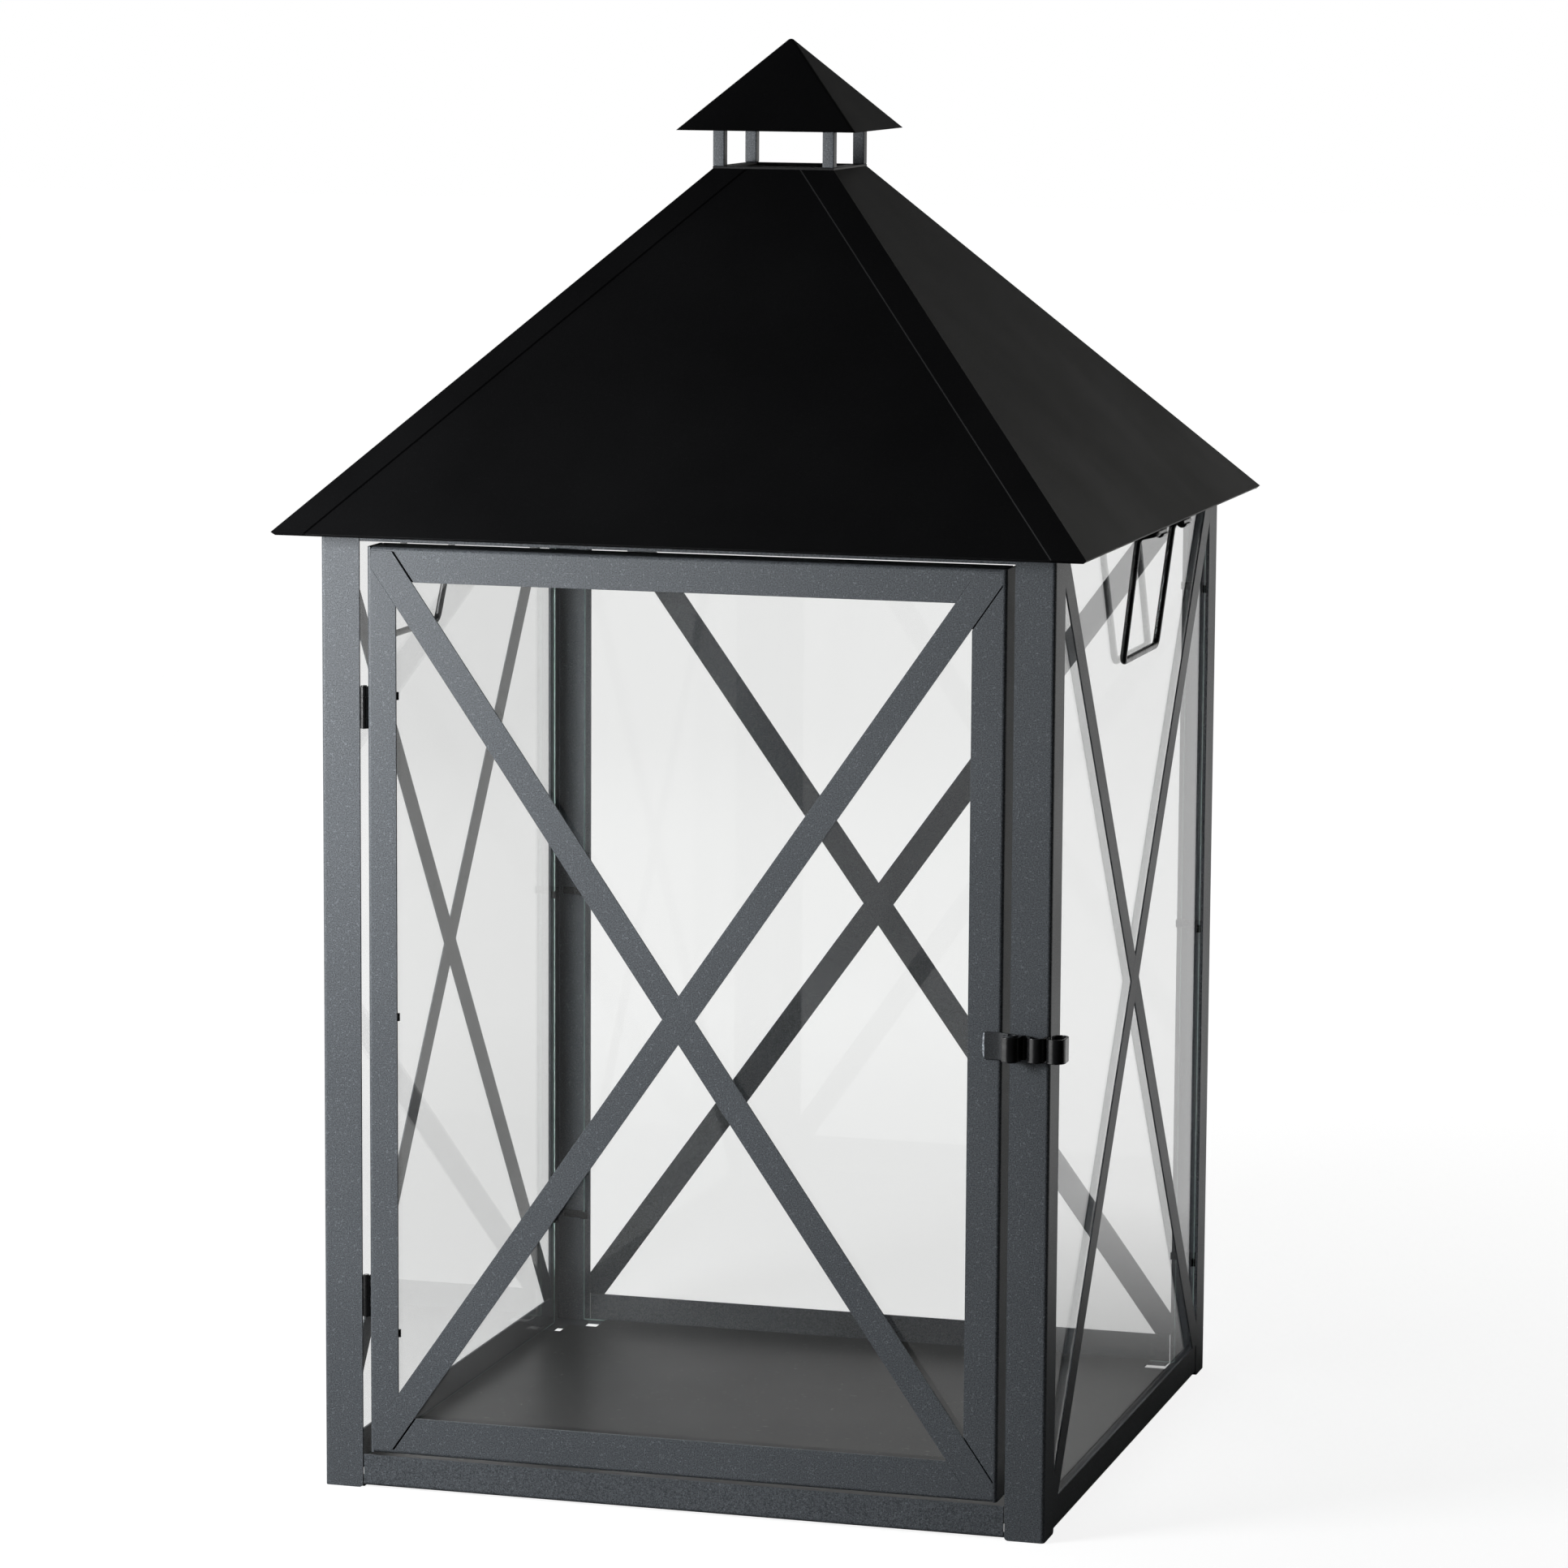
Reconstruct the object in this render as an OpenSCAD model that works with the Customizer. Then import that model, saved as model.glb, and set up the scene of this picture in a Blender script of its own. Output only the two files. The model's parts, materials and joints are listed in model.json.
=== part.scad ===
// Candle lantern that stands on the floor. Folded sheet steel posts and rails carry
// glass on four sides, a hinged door at the front, a hipped roof with a chimney cap
// and two swinging wire handles. The front faces -Y, the hinges are at -X, the floor
// is z = 0 and the middle of the floor tray is over the origin. Millimetres.

/* [Body] */
// Outside width and depth over the corner posts
body_w = 372; // [300:1:500]
// Height of the roof's lower edge above the floor
eave_z = 483; // [360:1:700]
// Face width of each corner post
post_w = 20; // [16:0.5:28]
// Thickness of the folded sheet steel
sheet_t = 1.2; // [0.8:0.1:1.6]
// Inside radius of every fold
fold_in = 0.8; // [0.4:0.1:1.5]
// Radius of the rounded lower corners of a post
foot_r = 2; // [1:0.5:8]

/* [Rails and floor tray] */
// Gap between the bottom rails and the floor
rail_lift = 1; // [0.5:0.5:5]
// Height of a bottom rail
rail_h = 16; // [12:0.5:24]
// Width of the ledge folded inwards from a rail
ledge_w = 8; // [7:0.5:11]
// How much shorter a ledge is than its rail at each end
ledge_relief = 1; // [0.5:0.5:12]
// Gap between the end of a bottom rail and the post beside it
rail_end_gap = 0.5; // [0.1:0.1:0.9]
// How far the rails lie behind the faces of the posts
rail_set_back = 0.3; // [0:0.1:0.5]
// How far the top rails reach below the eave
top_rail_show = 5; // [2:0.5:10]
// Thickness of the floor tray
tray_t = 1; // [0.8:0.1:2]
// Width of the narrow, deep notch in each tray corner
notch_w = 9.5; // [4:0.5:14]
// Depth of the narrow notch
notch_d = 33.5; // [20:0.5:45]
// Width of the wide, shallow notch in each tray corner
notch_wide_w = 25.5; // [16:0.5:40]
// Depth of the wide notch
notch_wide_d = 17.5; // [10:0.5:19]

/* [Glass] */
// Thickness of the glass
glass_t = 2; // [1.8:0.1:3]
// How far a side pane laps behind a post
glass_lap = 3; // [2:0.5:5]
// Distance from the eave up to the top edge of a side pane
glass_above_eave = 7; // [2:0.5:10]
// Height of a glass clip
clip_h = 4; // [3:0.5:8]
// Length of the clip's lip over the glass
clip_lip = 3.5; // [2:0.5:8]
// Distance from the ends of a pane to the outer clips
clip_end = 60; // [30:1:100]
// Free space between a pane's edge and its clips
glass_play = 0.6; // [0.3:0.1:1]

/* [Cross strips] */
// Width of the flat strips of the crosses
strip_w = 13.75; // [8:0.25:20]
// Thickness of the strips
strip_t = 0.8; // [0.6:0.1:1.2]
// Open seam between a strip and a rail of the door, at the hinge side
rail_seam = 0.9; // [0.1:0.1:1.5]
// Open seam between a strip and the door's latch stile
stile_seam = 0.6; // [0.1:0.1:1.5]

/* [Door] */
// Face width of the door's hinge stile
stile_w = 15; // [12:0.5:20]
// Face width of the door's latch stile
latch_stile_w = 17; // [12:0.5:20]
// Face height of the door's top rail
door_top_w = 17; // [12:0.5:24]
// Face height of the door's bottom rail
door_bottom_w = 19; // [12:0.5:24]
// Depth of the fold that stiffens the door frame
door_depth = 20; // [16:0.5:26]
// Gap at the hinge side
hinge_gap = 4; // [3.8:0.1:6]
// Gap at the latch side
latch_gap = 4; // [3:0.1:9]
// Gap under the door
door_gap_bottom = 1.5; // [0.5:0.1:4]
// Gap over the door
door_gap_top = 2.5; // [1:0.1:6]
// How far the door glass laps behind the door frame
door_glass_lap = 3; // [2:0.5:5]

/* [Hinges] */
// Height of a hinge
hinge_h = 21; // [16:0.5:32]
// Distance from the ends of the door to the middle of a hinge
hinge_inset = 80; // [50:1:120]
// Radius of the hinge barrel
barrel_r = 1.8; // [1.6:0.05:1.85]
// Thickness of a hinge leaf
leaf_t = 0.8; // [0.6:0.1:1]
// Width of a hinge leaf
leaf_w = 12; // [8:0.5:16]
// Radius of the hinge pin
pin_r = 0.9; // [0.7:0.05:1]
// Radial running clearance of pins and wires
run_gap = 0.05; // [0.02:0.01:0.1]
// Depth of the hinge axis behind the front face
hinge_back = 1; // [0.8:0.1:1.2]
// Clearance between one leaf and the barrel of the other
leaf_gap = 0.3; // [0.2:0.05:0.5]
// End gap between knuckles
knuckle_gap = 0.15; // [0.1:0.05:0.3]
// Radius of the pin's head
pin_head_r = 1.5; // [1.2:0.1:1.8]
// Thickness of the pin's head
pin_head_t = 0.6; // [0.4:0.1:1]

/* [Latch] */
// Height of the latch's middle above the floor
latch_z = 245; // [150:1:330]
// Height of the tongue on the door
tongue_h = 13.5; // [10:0.5:18]
// How far the tongue laps over the stile
tongue_lap = 8.5; // [4:0.5:12]
// Height of the curled hook strip
hook_h = 12; // [8:0.5:16]
// Thickness of the tongue and the hook strip
hook_t = 1.2; // [0.8:0.1:1.4]
// Radius of the tongue's rolled eye
eye_core_r = 3.7; // [3:0.1:4]
// Clearance between the latch and the post
latch_clear = 0.4; // [0.3:0.1:0.6]
// Radius of the middle curl, along its centreline
curl_mid_r = 3.9; // [3:0.1:4.5]
// Radius of the outer curl, along its centreline
curl_end_r = 4.2; // [3.5:0.1:5]

/* [Roof] */
// Overhang of the eave past the posts
overhang = 19; // [14:0.5:40]
// Height from the eave to the top of the roof
roof_rise = 174; // [120:1:240]
// Width of the flat top of the roof
roof_top_w = 63.5; // [52:0.5:90]
// Thickness of the roof sheet
roof_t = 0.8; // [0.6:0.1:1.2]
// Width of the flanges that lap from the side panels over the front and the back
flange_w = 17; // [10:0.5:26]
// Width of the hem folded under each eave
hem_w = 9; // [6:0.5:12]

/* [Chimney] */
// Height of the vent between the roof's top and the cap
vent_h = 19.5; // [12:0.5:30]
// Width of the four square posts under the cap
stub_w = 6; // [4:0.5:8]
// Thickness of the collar plate on the roof
collar_t = 1.2; // [0.8:0.1:2]
// Width of the collar plate's border
collar_w = 7; // [6:0.5:10]
// Width of the cap
cap_w = 94; // [84:1:120]
// Height of the cap's pyramid
cap_rise = 46.5; // [30:0.5:70]
// Thickness of the cap's sheet
cap_t = 0.8; // [0.6:0.1:1.2]

/* [Handles] */
// Radius of the handle wire
wire_r = 1.75; // [1.5:0.05:2]
// Distance between the legs at the top
handle_w_top = 80.6; // [70:0.2:100]
// Distance between the legs at the bottom bar
handle_w_bottom = 76; // [66:0.2:100]
// Distance from the pivot down to the bottom bar
handle_len = 66.5; // [50:0.5:80]
// Sideways step from the pivot to the legs
handle_step = 8.3; // [7.8:0.1:9]
// Drop of that step
handle_step_drop = 3; // [2:0.5:4]
// Distance between the two eyes of a handle
eye_span = 53.2; // [45:0.2:58]
// Length of an eye
eye_len = 10; // [6:0.5:12]
// Wall of an eye and thickness of its strap
eye_wall = 1; // [0.8:0.1:1.2]
// Length of the strap that holds an eye under the roof
strap_len = 14; // [11:0.5:20]
// How far the eye lies up the slope from the eave's edge
eye_inset = 0.2; // [0:0.1:1]
// How far the wire ends stand out of the eyes
wire_end = 1.5; // [0.5:0.5:4]
// Radius of the wire's bends, along its centreline
bend_r = 4; // [3:0.25:4.5]
// Clearance between a handle and the glass it leans on
lean_clear = 0.3; // [0.2:0.1:1]

/* [Hidden] */
$fn = 48;

// Corner posts and the openings between them
body_half = body_w / 2;
fold_r = sheet_t + fold_in;
opening_half = body_half - post_w;
rail_top_z = rail_lift + rail_h;
rail_face = body_half - rail_set_back;
ledge_z = rail_lift + sheet_t;
top_rail_z = eave_z - top_rail_show;

// Roof: the outer skin of the side panels, and how far the skins lie under it
eave_half = body_half + overhang;
roof_top_half = roof_top_w / 2;
roof_top_z = eave_z + roof_rise;
slope = atan2(roof_rise, eave_half - roof_top_half);
side_skin = 0;
front_skin = roof_t;

// Glass lies against the clips, which are as thick as the sheet
glass_face = body_half - 2 * sheet_t;
glass_back_face = glass_face - glass_t;
side_glass_half = opening_half + glass_lap;
side_glass_top = eave_z + glass_above_eave;
tray_gap = 0.4;
tray_half = glass_back_face - tray_gap;
clip_foot = 12;
clip_grip = 1.5;

// Door outline, seen from the front
door_left = -opening_half + hinge_gap;
door_right = opening_half - latch_gap;
door_bottom = rail_top_z + door_gap_bottom;
door_top = top_rail_z - door_gap_top;
door_w = door_right - door_left;
door_h = door_top - door_bottom;
door_x = (door_left + door_right) / 2;
door_z = (door_top + door_bottom) / 2;

// The door's clear opening, on whose diagonals its cross lies
view_w = door_w - stile_w - latch_stile_w;
view_h = door_h - door_bottom_w - door_top_w;
view_x = door_left + stile_w + view_w / 2;
view_z = door_bottom + door_bottom_w + view_h / 2;
cross_angle = atan2(view_h, view_w);

// Hinge axis in the gap, just behind the front face
hinge_x = -opening_half + hinge_gap / 2;
hinge_y = -body_half + hinge_back;
hinge_upper_z = door_top - hinge_inset;
hinge_lower_z = door_bottom + hinge_inset;
knuckles = 4;
knuckle_pitch = hinge_h / knuckles;

// Latch in plan: x across, w outwards from the front face of the post
roll_r = eye_core_r + run_gap + hook_t / 2;
latch_x = opening_half + 1.6;
latch_w = latch_clear + hook_t + eye_core_r;
valley_w = latch_clear + hook_t / 2;
roll_x = latch_x + roll_r;
valley_r = 2.2;
mid_x = roll_x + 2 * valley_r + curl_mid_r;
mid_w = valley_w + 3.6;
pinch_r = 0.8;
pinch_x = mid_x + curl_mid_r + pinch_r;
end_x = pinch_x + pinch_r + curl_end_r;
end_w = valley_w + 3.2;
tail_r = (end_x + curl_end_r - body_half - latch_clear - hook_t / 2) / 2;
tail_w = -1.5;
eye_rim_t = 0.7;
eye_rim_gap = 0.05;
roll_open = 138;

// Handle pivot, right under the eave's edge
eye_r = wire_r + run_gap + eye_wall;
pivot_deep = 2 * roof_t + eye_r;
pivot_x = eave_half - eye_inset * cos(slope) - pivot_deep * sin(slope);
pivot_z = eave_z + eye_inset * sin(slope) - pivot_deep * cos(slope);
// Right handle leans on the glass: its bar lies beside the pane
bar_reach = pivot_x - glass_face - wire_r - lean_clear;
bar_dist = sqrt(pow(handle_step, 2) + pow(handle_len, 2));
lean_angle = asin(bar_reach / bar_dist) - atan2(handle_step, handle_len);
// Left handle hangs: its wire balances under the pivot
end_half = (handle_w_top - eye_span + eye_len) / 2 + wire_end;
step_len = sqrt(pow(handle_step, 2) + pow(handle_step_drop, 2));
leg_len = handle_len - handle_step_drop;
hang_x = step_len * handle_step + 2 * leg_len * handle_step + handle_w_bottom * handle_step;
hang_z = step_len * handle_step_drop
    + 2 * leg_len * (handle_len + handle_step_drop) / 2 + handle_w_bottom * handle_len;
hang_angle = atan2(hang_x, hang_z);

paint = "#45484c";
paint_inside = "#4b4a46";
roof_paint = "#17191a";
gloss = "#0e0f10";
clear_glass = [0.86, 0.9, 0.9, 0.3];

// Height of the roof's underside at distance r from the middle, under one skin
// whose outside lies skin below the outer skin
function under_roof(r, skin) =
    eave_z + (eave_half - r) * tan(slope) - (skin + roof_t) / cos(slope);

// ---- shared shapes ----

// Angle profile: the fold's outside corner at the origin, legs along +X and +Y
module angle_profile(leg_x, leg_y) {
    difference() {
        union() {
            square([leg_x, sheet_t]);
            square([sheet_t, leg_y]);
            square(fold_r);
        }
        fold_corner();
        translate([fold_r, fold_r])
            circle(fold_in);
    }
}

// What the outside radius of a fold takes off a square corner
module fold_corner() {
    difference() {
        translate([-1, -1])
            square(fold_r + 1);
        translate([fold_r, fold_r])
            circle(fold_r);
    }
}

// Turns a piece that was drawn at the front to another side: 1 right, 2 back, 3 left
module side(n) {
    rotate([0, 0, 90 * n])
        children();
}

// Draws an outline of the front elevation (x, z) as a plate from y0 back to y0 + t
module plate(y0, t) {
    translate([0, y0 + t, 0])
        rotate([90, 0, 0])
            linear_extrude(t)
                children();
}

// Long band on the diagonal of a w by h rectangle, about its middle
module band(w, h, width, way) {
    rotate(way * atan2(h, w))
        square([2 * (w + h), width], center = true);
}

// The strips on the diagonals of a w by h rectangle, within the outline given; the
// rising one runs through, and the halves of the falling one butt against it
module rising_strip(w, h) {
    intersection() {
        children();
        band(w, h, strip_w, 1);
    }
}

module falling_strip(w, h) {
    difference() {
        intersection() {
            children();
            band(w, h, strip_w, -1);
        }
        band(w, h, strip_w, 1);
    }
}

// ---- posts, rails and tray ----

// Corner post on a foot plate, with its upper end cut to the slopes of the roof
module post(mirror_x, mirror_y) {
    color(paint)
        mirror([mirror_x, 0, 0])
            mirror([0, mirror_y, 0])
                intersection() {
                    translate([-body_half, -body_half, 0])
                        difference() {
                            union() {
                                linear_extrude(eave_z + overhang + post_w)
                                    angle_profile(post_w, post_w);
                                foot_plate();
                            }
                            foot_round();
                        }
                    intersection() {
                        space_under_roof(side_skin, 0);
                        space_under_roof(front_skin, 90);
                    }
                }
}

// Plate that closes the lower end of a post
module foot_plate() {
    linear_extrude(sheet_t)
        difference() {
            square(post_w);
            fold_corner();
        }
}

// Everything that lies under one pair of the roof's slopes
module space_under_roof(skin, turn) {
    peak = under_roof(0, skin);
    rotate([0, 0, turn])
        wedge(2 * peak / tan(slope), peak);
}

// Rounds the free lower corner of both flanges of a post
module foot_round() {
    translate([post_w, 0, 0])
        rotate([90, 0, 0])
            foot_cutter();
    translate([0, post_w, 0])
        rotate([90, 0, 90])
            foot_cutter();
}

module foot_cutter() {
    linear_extrude(4 * sheet_t, center = true)
        difference() {
            translate([-foot_r, -1])
                square([foot_r + 1, foot_r + 1]);
            translate([-foot_r, foot_r])
                circle(foot_r);
        }
}

// Bottom rail as it lies at the front, with its ledge at the bottom
module bottom_rail() {
    color(paint)
        difference() {
            translate([-opening_half + rail_end_gap, -rail_face, rail_lift])
                rotate([90, 0, 90])
                    linear_extrude(2 * (opening_half - rail_end_gap))
                        angle_profile(ledge_w, rail_h);
            ledge_ends(rail_lift - 1);
        }
}

// Top rail as it lies at the front, with a flange folded up against the roof
module top_rail(skin) {
    in_r = rail_face - sheet_t;
    end_r = rail_face - ledge_w;
    drop = sheet_t / cos(slope);
    color(paint)
        translate([opening_half, 0, 0])
            rotate([90, 0, -90])
                linear_extrude(2 * opening_half)
                    polygon([
                        [rail_face, top_rail_z],
                        [rail_face, under_roof(rail_face, skin)],
                        [end_r, under_roof(end_r, skin)],
                        [end_r, under_roof(end_r, skin) - drop],
                        [in_r, under_roof(in_r, skin) - drop],
                        [in_r, top_rail_z]
                    ]);
}

// Shortens a ledge at both ends
module ledge_ends(z) {
    for (s = [-1, 1])
        translate([s * opening_half, -rail_face + fold_r + ledge_w / 2, z + (sheet_t + 2) / 2])
            cube([2 * ledge_relief, ledge_w, sheet_t + 2], center = true);
}

module floor_tray() {
    color(paint_inside)
        translate([0, 0, ledge_z])
            linear_extrude(tray_t)
                difference() {
                    square(2 * tray_half, center = true);
                    for (sx = [-1, 1], sy = [-1, 1])
                        translate([sx * tray_half, sy * tray_half]) {
                            square([2 * notch_w, 2 * notch_d], center = true);
                            square([2 * notch_wide_w, 2 * notch_wide_d], center = true);
                        }
                }
}

// ---- glass and its clips ----

module side_glass() {
    color(clear_glass)
        translate([-side_glass_half, -glass_face, ledge_z])
            cube([2 * side_glass_half, glass_t, side_glass_top - ledge_z]);
}

// Clip in plan at a pane's right edge: a foot on the steel that reaches under the
// pane, a riser beside it and a lip over it
module clip_profile(edge_x) {
    riser_x = edge_x + glass_play;
    translate([edge_x - clip_grip, -body_half + sheet_t])
        square([clip_grip + glass_play + clip_foot, sheet_t]);
    translate([riser_x, -body_half + sheet_t])
        square([sheet_t, 2 * sheet_t + glass_t]);
    translate([riser_x - clip_lip, -glass_back_face])
        square([clip_lip + sheet_t, sheet_t]);
}

// Clips along both upright edges of a pane, at three heights
module clip_rows(edge_x, z0, z1) {
    for (z = [z0 + clip_end, (z0 + z1) / 2, z1 - clip_end], m = [0, 1])
        mirror([m, 0, 0])
            translate([0, 0, z - clip_h / 2])
                linear_extrude(clip_h)
                    clip_profile(edge_x);
}

module side_clips() {
    color(gloss)
        clip_rows(side_glass_half, ledge_z, side_glass_top);
}

// ---- crosses on the fixed sides ----

side_w = 2 * opening_half;
side_h = top_rail_z - rail_top_z;

module side_cross() {
    color(paint)
        plate(-body_half, strip_t)
            translate([0, rail_top_z + side_h / 2])
                children();
}

module side_rising() {
    side_cross()
        rising_strip(side_w, side_h)
            square([side_w, side_h], center = true);
}

module side_falling() {
    side_cross()
        falling_strip(side_w, side_h)
            square([side_w, side_h], center = true);
}

// ---- door ----

// At each corner of the door a strip lies in a seat, flush with the stile and the
// rail. The shapes are drawn for the lower left corner, with the door's corner at
// the origin; line is the height at which a sloping edge meets the door's side.

// Takes the shape out of a door member's face to the depth given
module at_corner(mirror_x, mirror_z, depth) {
    translate([door_x, 0, door_z])
        mirror([mirror_x, 0, 0])
            mirror([0, 0, mirror_z])
                translate([-door_w / 2, 0, -door_h / 2])
                    plate(-body_half - 1, depth + 1)
                        children();
}

// Where the middle of a strip meets the door's side; it runs through the corner of
// the opening
function strip_line(width, face) = face - width * tan(cross_angle);

// Height of half a strip and its seam, measured along the door's side
function half_strip(gap) = (strip_w / 2 + gap) / cos(cross_angle);

// What lies below a sloping edge in a stile
module below(width, line) {
    polygon([
        [fold_r, -1],
        [width + 1, -1],
        [width + 1, line + (width + 1) * tan(cross_angle)],
        [fold_r, line + fold_r * tan(cross_angle)]
    ]);
}

// What lies above a sloping edge in a rail
module above(face, line) {
    polygon([
        [-1, fold_r],
        [(fold_r - line) / tan(cross_angle), fold_r],
        [(face + 1 - line) / tan(cross_angle), face + 1],
        [-1, face + 1]
    ]);
}

// The stile keeps a thin seat under the strip, down to the edge of the rail's seat
module stile_corner(mirror_x, mirror_z, width, face) {
    gap = mirror_x == 1 ? stile_seam : 0;
    edge = strip_line(width, face) + half_strip(gap);
    at_corner(mirror_x, mirror_z, strip_t)
        below(width, edge);
    at_corner(mirror_x, mirror_z, sheet_t + clear_cut)
        below(width, min(edge, fold_r));
}

module rail_corner(mirror_x, mirror_z, width, face) {
    gap = mirror_x == 1 ? 0 : rail_seam;
    edge = strip_line(width, face) - half_strip(gap);
    at_corner(mirror_x, mirror_z, strip_t)
        above(face, edge);
    at_corner(mirror_x, mirror_z, sheet_t + clear_cut)
        above(face, max(edge, fold_r));
}

// Depth by which a cut runs out of the sheet
clear_cut = 0.2;

module door_stile(mirror_x, width) {
    color(paint)
        difference() {
            translate([door_x, 0, 0])
                mirror([mirror_x, 0, 0])
                    translate([-door_w / 2, -body_half, door_bottom])
                        linear_extrude(door_h)
                            angle_profile(width, door_depth);
            stile_corner(mirror_x, 0, width, door_bottom_w);
            stile_corner(mirror_x, 1, width, door_top_w);
        }
}

module door_rail(mirror_z, face) {
    color(paint)
        difference() {
            translate([door_left + fold_r, -body_half, door_z])
                mirror([0, 0, mirror_z])
                    translate([0, 0, -door_h / 2])
                        rotate([90, 0, 90])
                            linear_extrude(door_w - 2 * fold_r)
                                angle_profile(door_depth, face);
            rail_corner(0, mirror_z, stile_w, face);
            rail_corner(1, mirror_z, latch_stile_w, face);
        }
}

// The cross reaches from fold to fold
module door_cross() {
    color(paint)
        plate(-body_half, strip_t)
            translate([view_x, view_z])
                children();
}

module door_field() {
    translate([door_x - view_x, door_z - view_z])
        square([door_w - 2 * fold_r, door_h - 2 * fold_r], center = true);
}

module door_strip_rising() {
    door_cross()
        rising_strip(view_w, view_h)
            door_field();
}

module door_strip_falling() {
    door_cross()
        falling_strip(view_w, view_h)
            door_field();
}

// The door's pane stands on the fold of the door's bottom rail
door_glass_half = view_w / 2 + door_glass_lap;
door_glass_bottom = door_bottom + sheet_t;
door_glass_top = door_top - door_top_w + door_glass_lap;

module door_glass() {
    color(clear_glass)
        translate([view_x - door_glass_half, -glass_face, door_glass_bottom])
            cube([2 * door_glass_half, glass_t, door_glass_top - door_glass_bottom]);
}

// The feet of the door's clips are short enough for the stiles
module door_glass_clips() {
    foot = min(stile_w, latch_stile_w) - door_glass_lap - glass_play - fold_r;
    color(gloss)
        translate([view_x, 0, 0])
            intersection() {
                clip_rows(door_glass_half, door_glass_bottom, door_glass_top);
                translate([0, -body_half, door_z])
                    cube([2 * (door_glass_half + glass_play + foot), 2 * post_w, door_h],
                        center = true);
            }
}

// ---- hinges ----

module barrel_space(r, from, count) {
    for (k = [from : 2 : from + 2 * count - 2])
        translate([0, 0, hinge_h / 2 - (k + 1) * knuckle_pitch])
            cylinder(r = r, h = knuckle_pitch);
}

// A leaf's own knuckles, counted from the top
module knuckle_pair(first) {
    for (k = [first : 2 : knuckles - 1])
        translate([0, 0, hinge_h / 2 - (k + 1) * knuckle_pitch + knuckle_gap / 2])
            cylinder(r = barrel_r, h = knuckle_pitch - knuckle_gap);
}

module hinge_leaf(first) {
    difference() {
        union() {
            difference() {
                children();
                barrel_space(barrel_r + leaf_gap, 1 - first, 2);
            }
            knuckle_pair(first);
        }
        cylinder(r = pin_r + run_gap, h = 2 * hinge_h, center = true);
    }
}

// The post's leaf lies behind the front flange of the post
module post_leaf(z) {
    y0 = sheet_t - hinge_back;
    color(gloss)
        translate([hinge_x, hinge_y, z])
            hinge_leaf(0)
                translate([-leaf_w, y0, -hinge_h / 2])
                    cube([leaf_w, leaf_t, hinge_h]);
}

// The door's leaf lies on the outside of the door's fold
module door_leaf(z) {
    x1 = hinge_gap / 2;
    color(gloss)
        translate([hinge_x, hinge_y, z])
            hinge_leaf(1)
                translate([x1 - leaf_t, 0, -hinge_h / 2])
                    cube([leaf_t, leaf_w, hinge_h]);
}

module hinge_pin(z) {
    color(gloss)
        translate([hinge_x, hinge_y, z - hinge_h / 2]) {
            cylinder(r = pin_r, h = hinge_h - knuckle_gap / 2 + pin_head_t);
            translate([0, 0, hinge_h - knuckle_gap / 2])
                cylinder(r = pin_head_r, h = pin_head_t);
        }
}

// ---- latch ----

// Plan drawing of the latch, seen from above with w outwards, raised to height h
module latch_plan(h, z) {
    translate([0, -body_half, z - h / 2])
        linear_extrude(h)
            mirror([0, 1])
                children();
}

// Strip bent along an arc, from angle a0 counter-clockwise to angle a1
module bent(x, w, r, a0, a1, t) {
    translate([x, w])
        intersection() {
            difference() {
                circle(r + t / 2);
                circle(r - t / 2);
            }
            sector(a0, a1, 2 * r + t);
        }
}

module sector(a0, a1, r) {
    steps = ceil((a1 - a0) / 60);
    polygon(concat([[0, 0]],
        [for (i = [0 : steps]) let (a = a0 + (a1 - a0) * i / steps) [r * cos(a), r * sin(a)]]));
}

// Straight upright run of the strip at x, from w0 to w1
module upright(x, w0, w1) {
    translate([x - hook_t / 2, w0])
        square([hook_t, w1 - w0]);
}

module latch_tongue() {
    start_x = door_right - tongue_lap;
    color(paint)
        union() {
            latch_plan(tongue_h, latch_z) {
                translate([start_x, 0])
                    square([door_right - start_x, hook_t]);
                translate([door_right - hook_t, latch_clear])
                    square([latch_x - door_right + hook_t, hook_t + 0.3]);
                translate([latch_x, latch_w])
                    circle(eye_core_r);
            }
            latch_plan(eye_rim_t, latch_z - tongue_h / 2 + eye_rim_t / 2)
                translate([latch_x, latch_w])
                    circle(roll_r);
        }
}

module latch_hook() {
    color(gloss)
        latch_plan(hook_h, latch_z - tongue_h / 2 + eye_rim_t + eye_rim_gap + hook_h / 2) {
            bent(latch_x, latch_w, roll_r, 0, roll_open, hook_t);
            upright(roll_x, valley_w + valley_r, latch_w);
            bent(roll_x + valley_r, valley_w + valley_r, valley_r, 180, 360, hook_t);
            upright(mid_x - curl_mid_r, valley_w + valley_r, mid_w);
            bent(mid_x, mid_w, curl_mid_r, 0, 180, hook_t);
            upright(mid_x + curl_mid_r, valley_w + pinch_r, mid_w);
            bent(pinch_x, valley_w + pinch_r, pinch_r, 180, 360, hook_t);
            upright(end_x - curl_end_r, valley_w + pinch_r, end_w);
            bent(end_x, end_w, curl_end_r, 0, 180, hook_t);
            upright(end_x + curl_end_r, tail_w, end_w);
            bent(end_x + curl_end_r - tail_r, tail_w, tail_r, 180, 360, hook_t);
        }
}

// ---- roof and chimney ----

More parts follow.
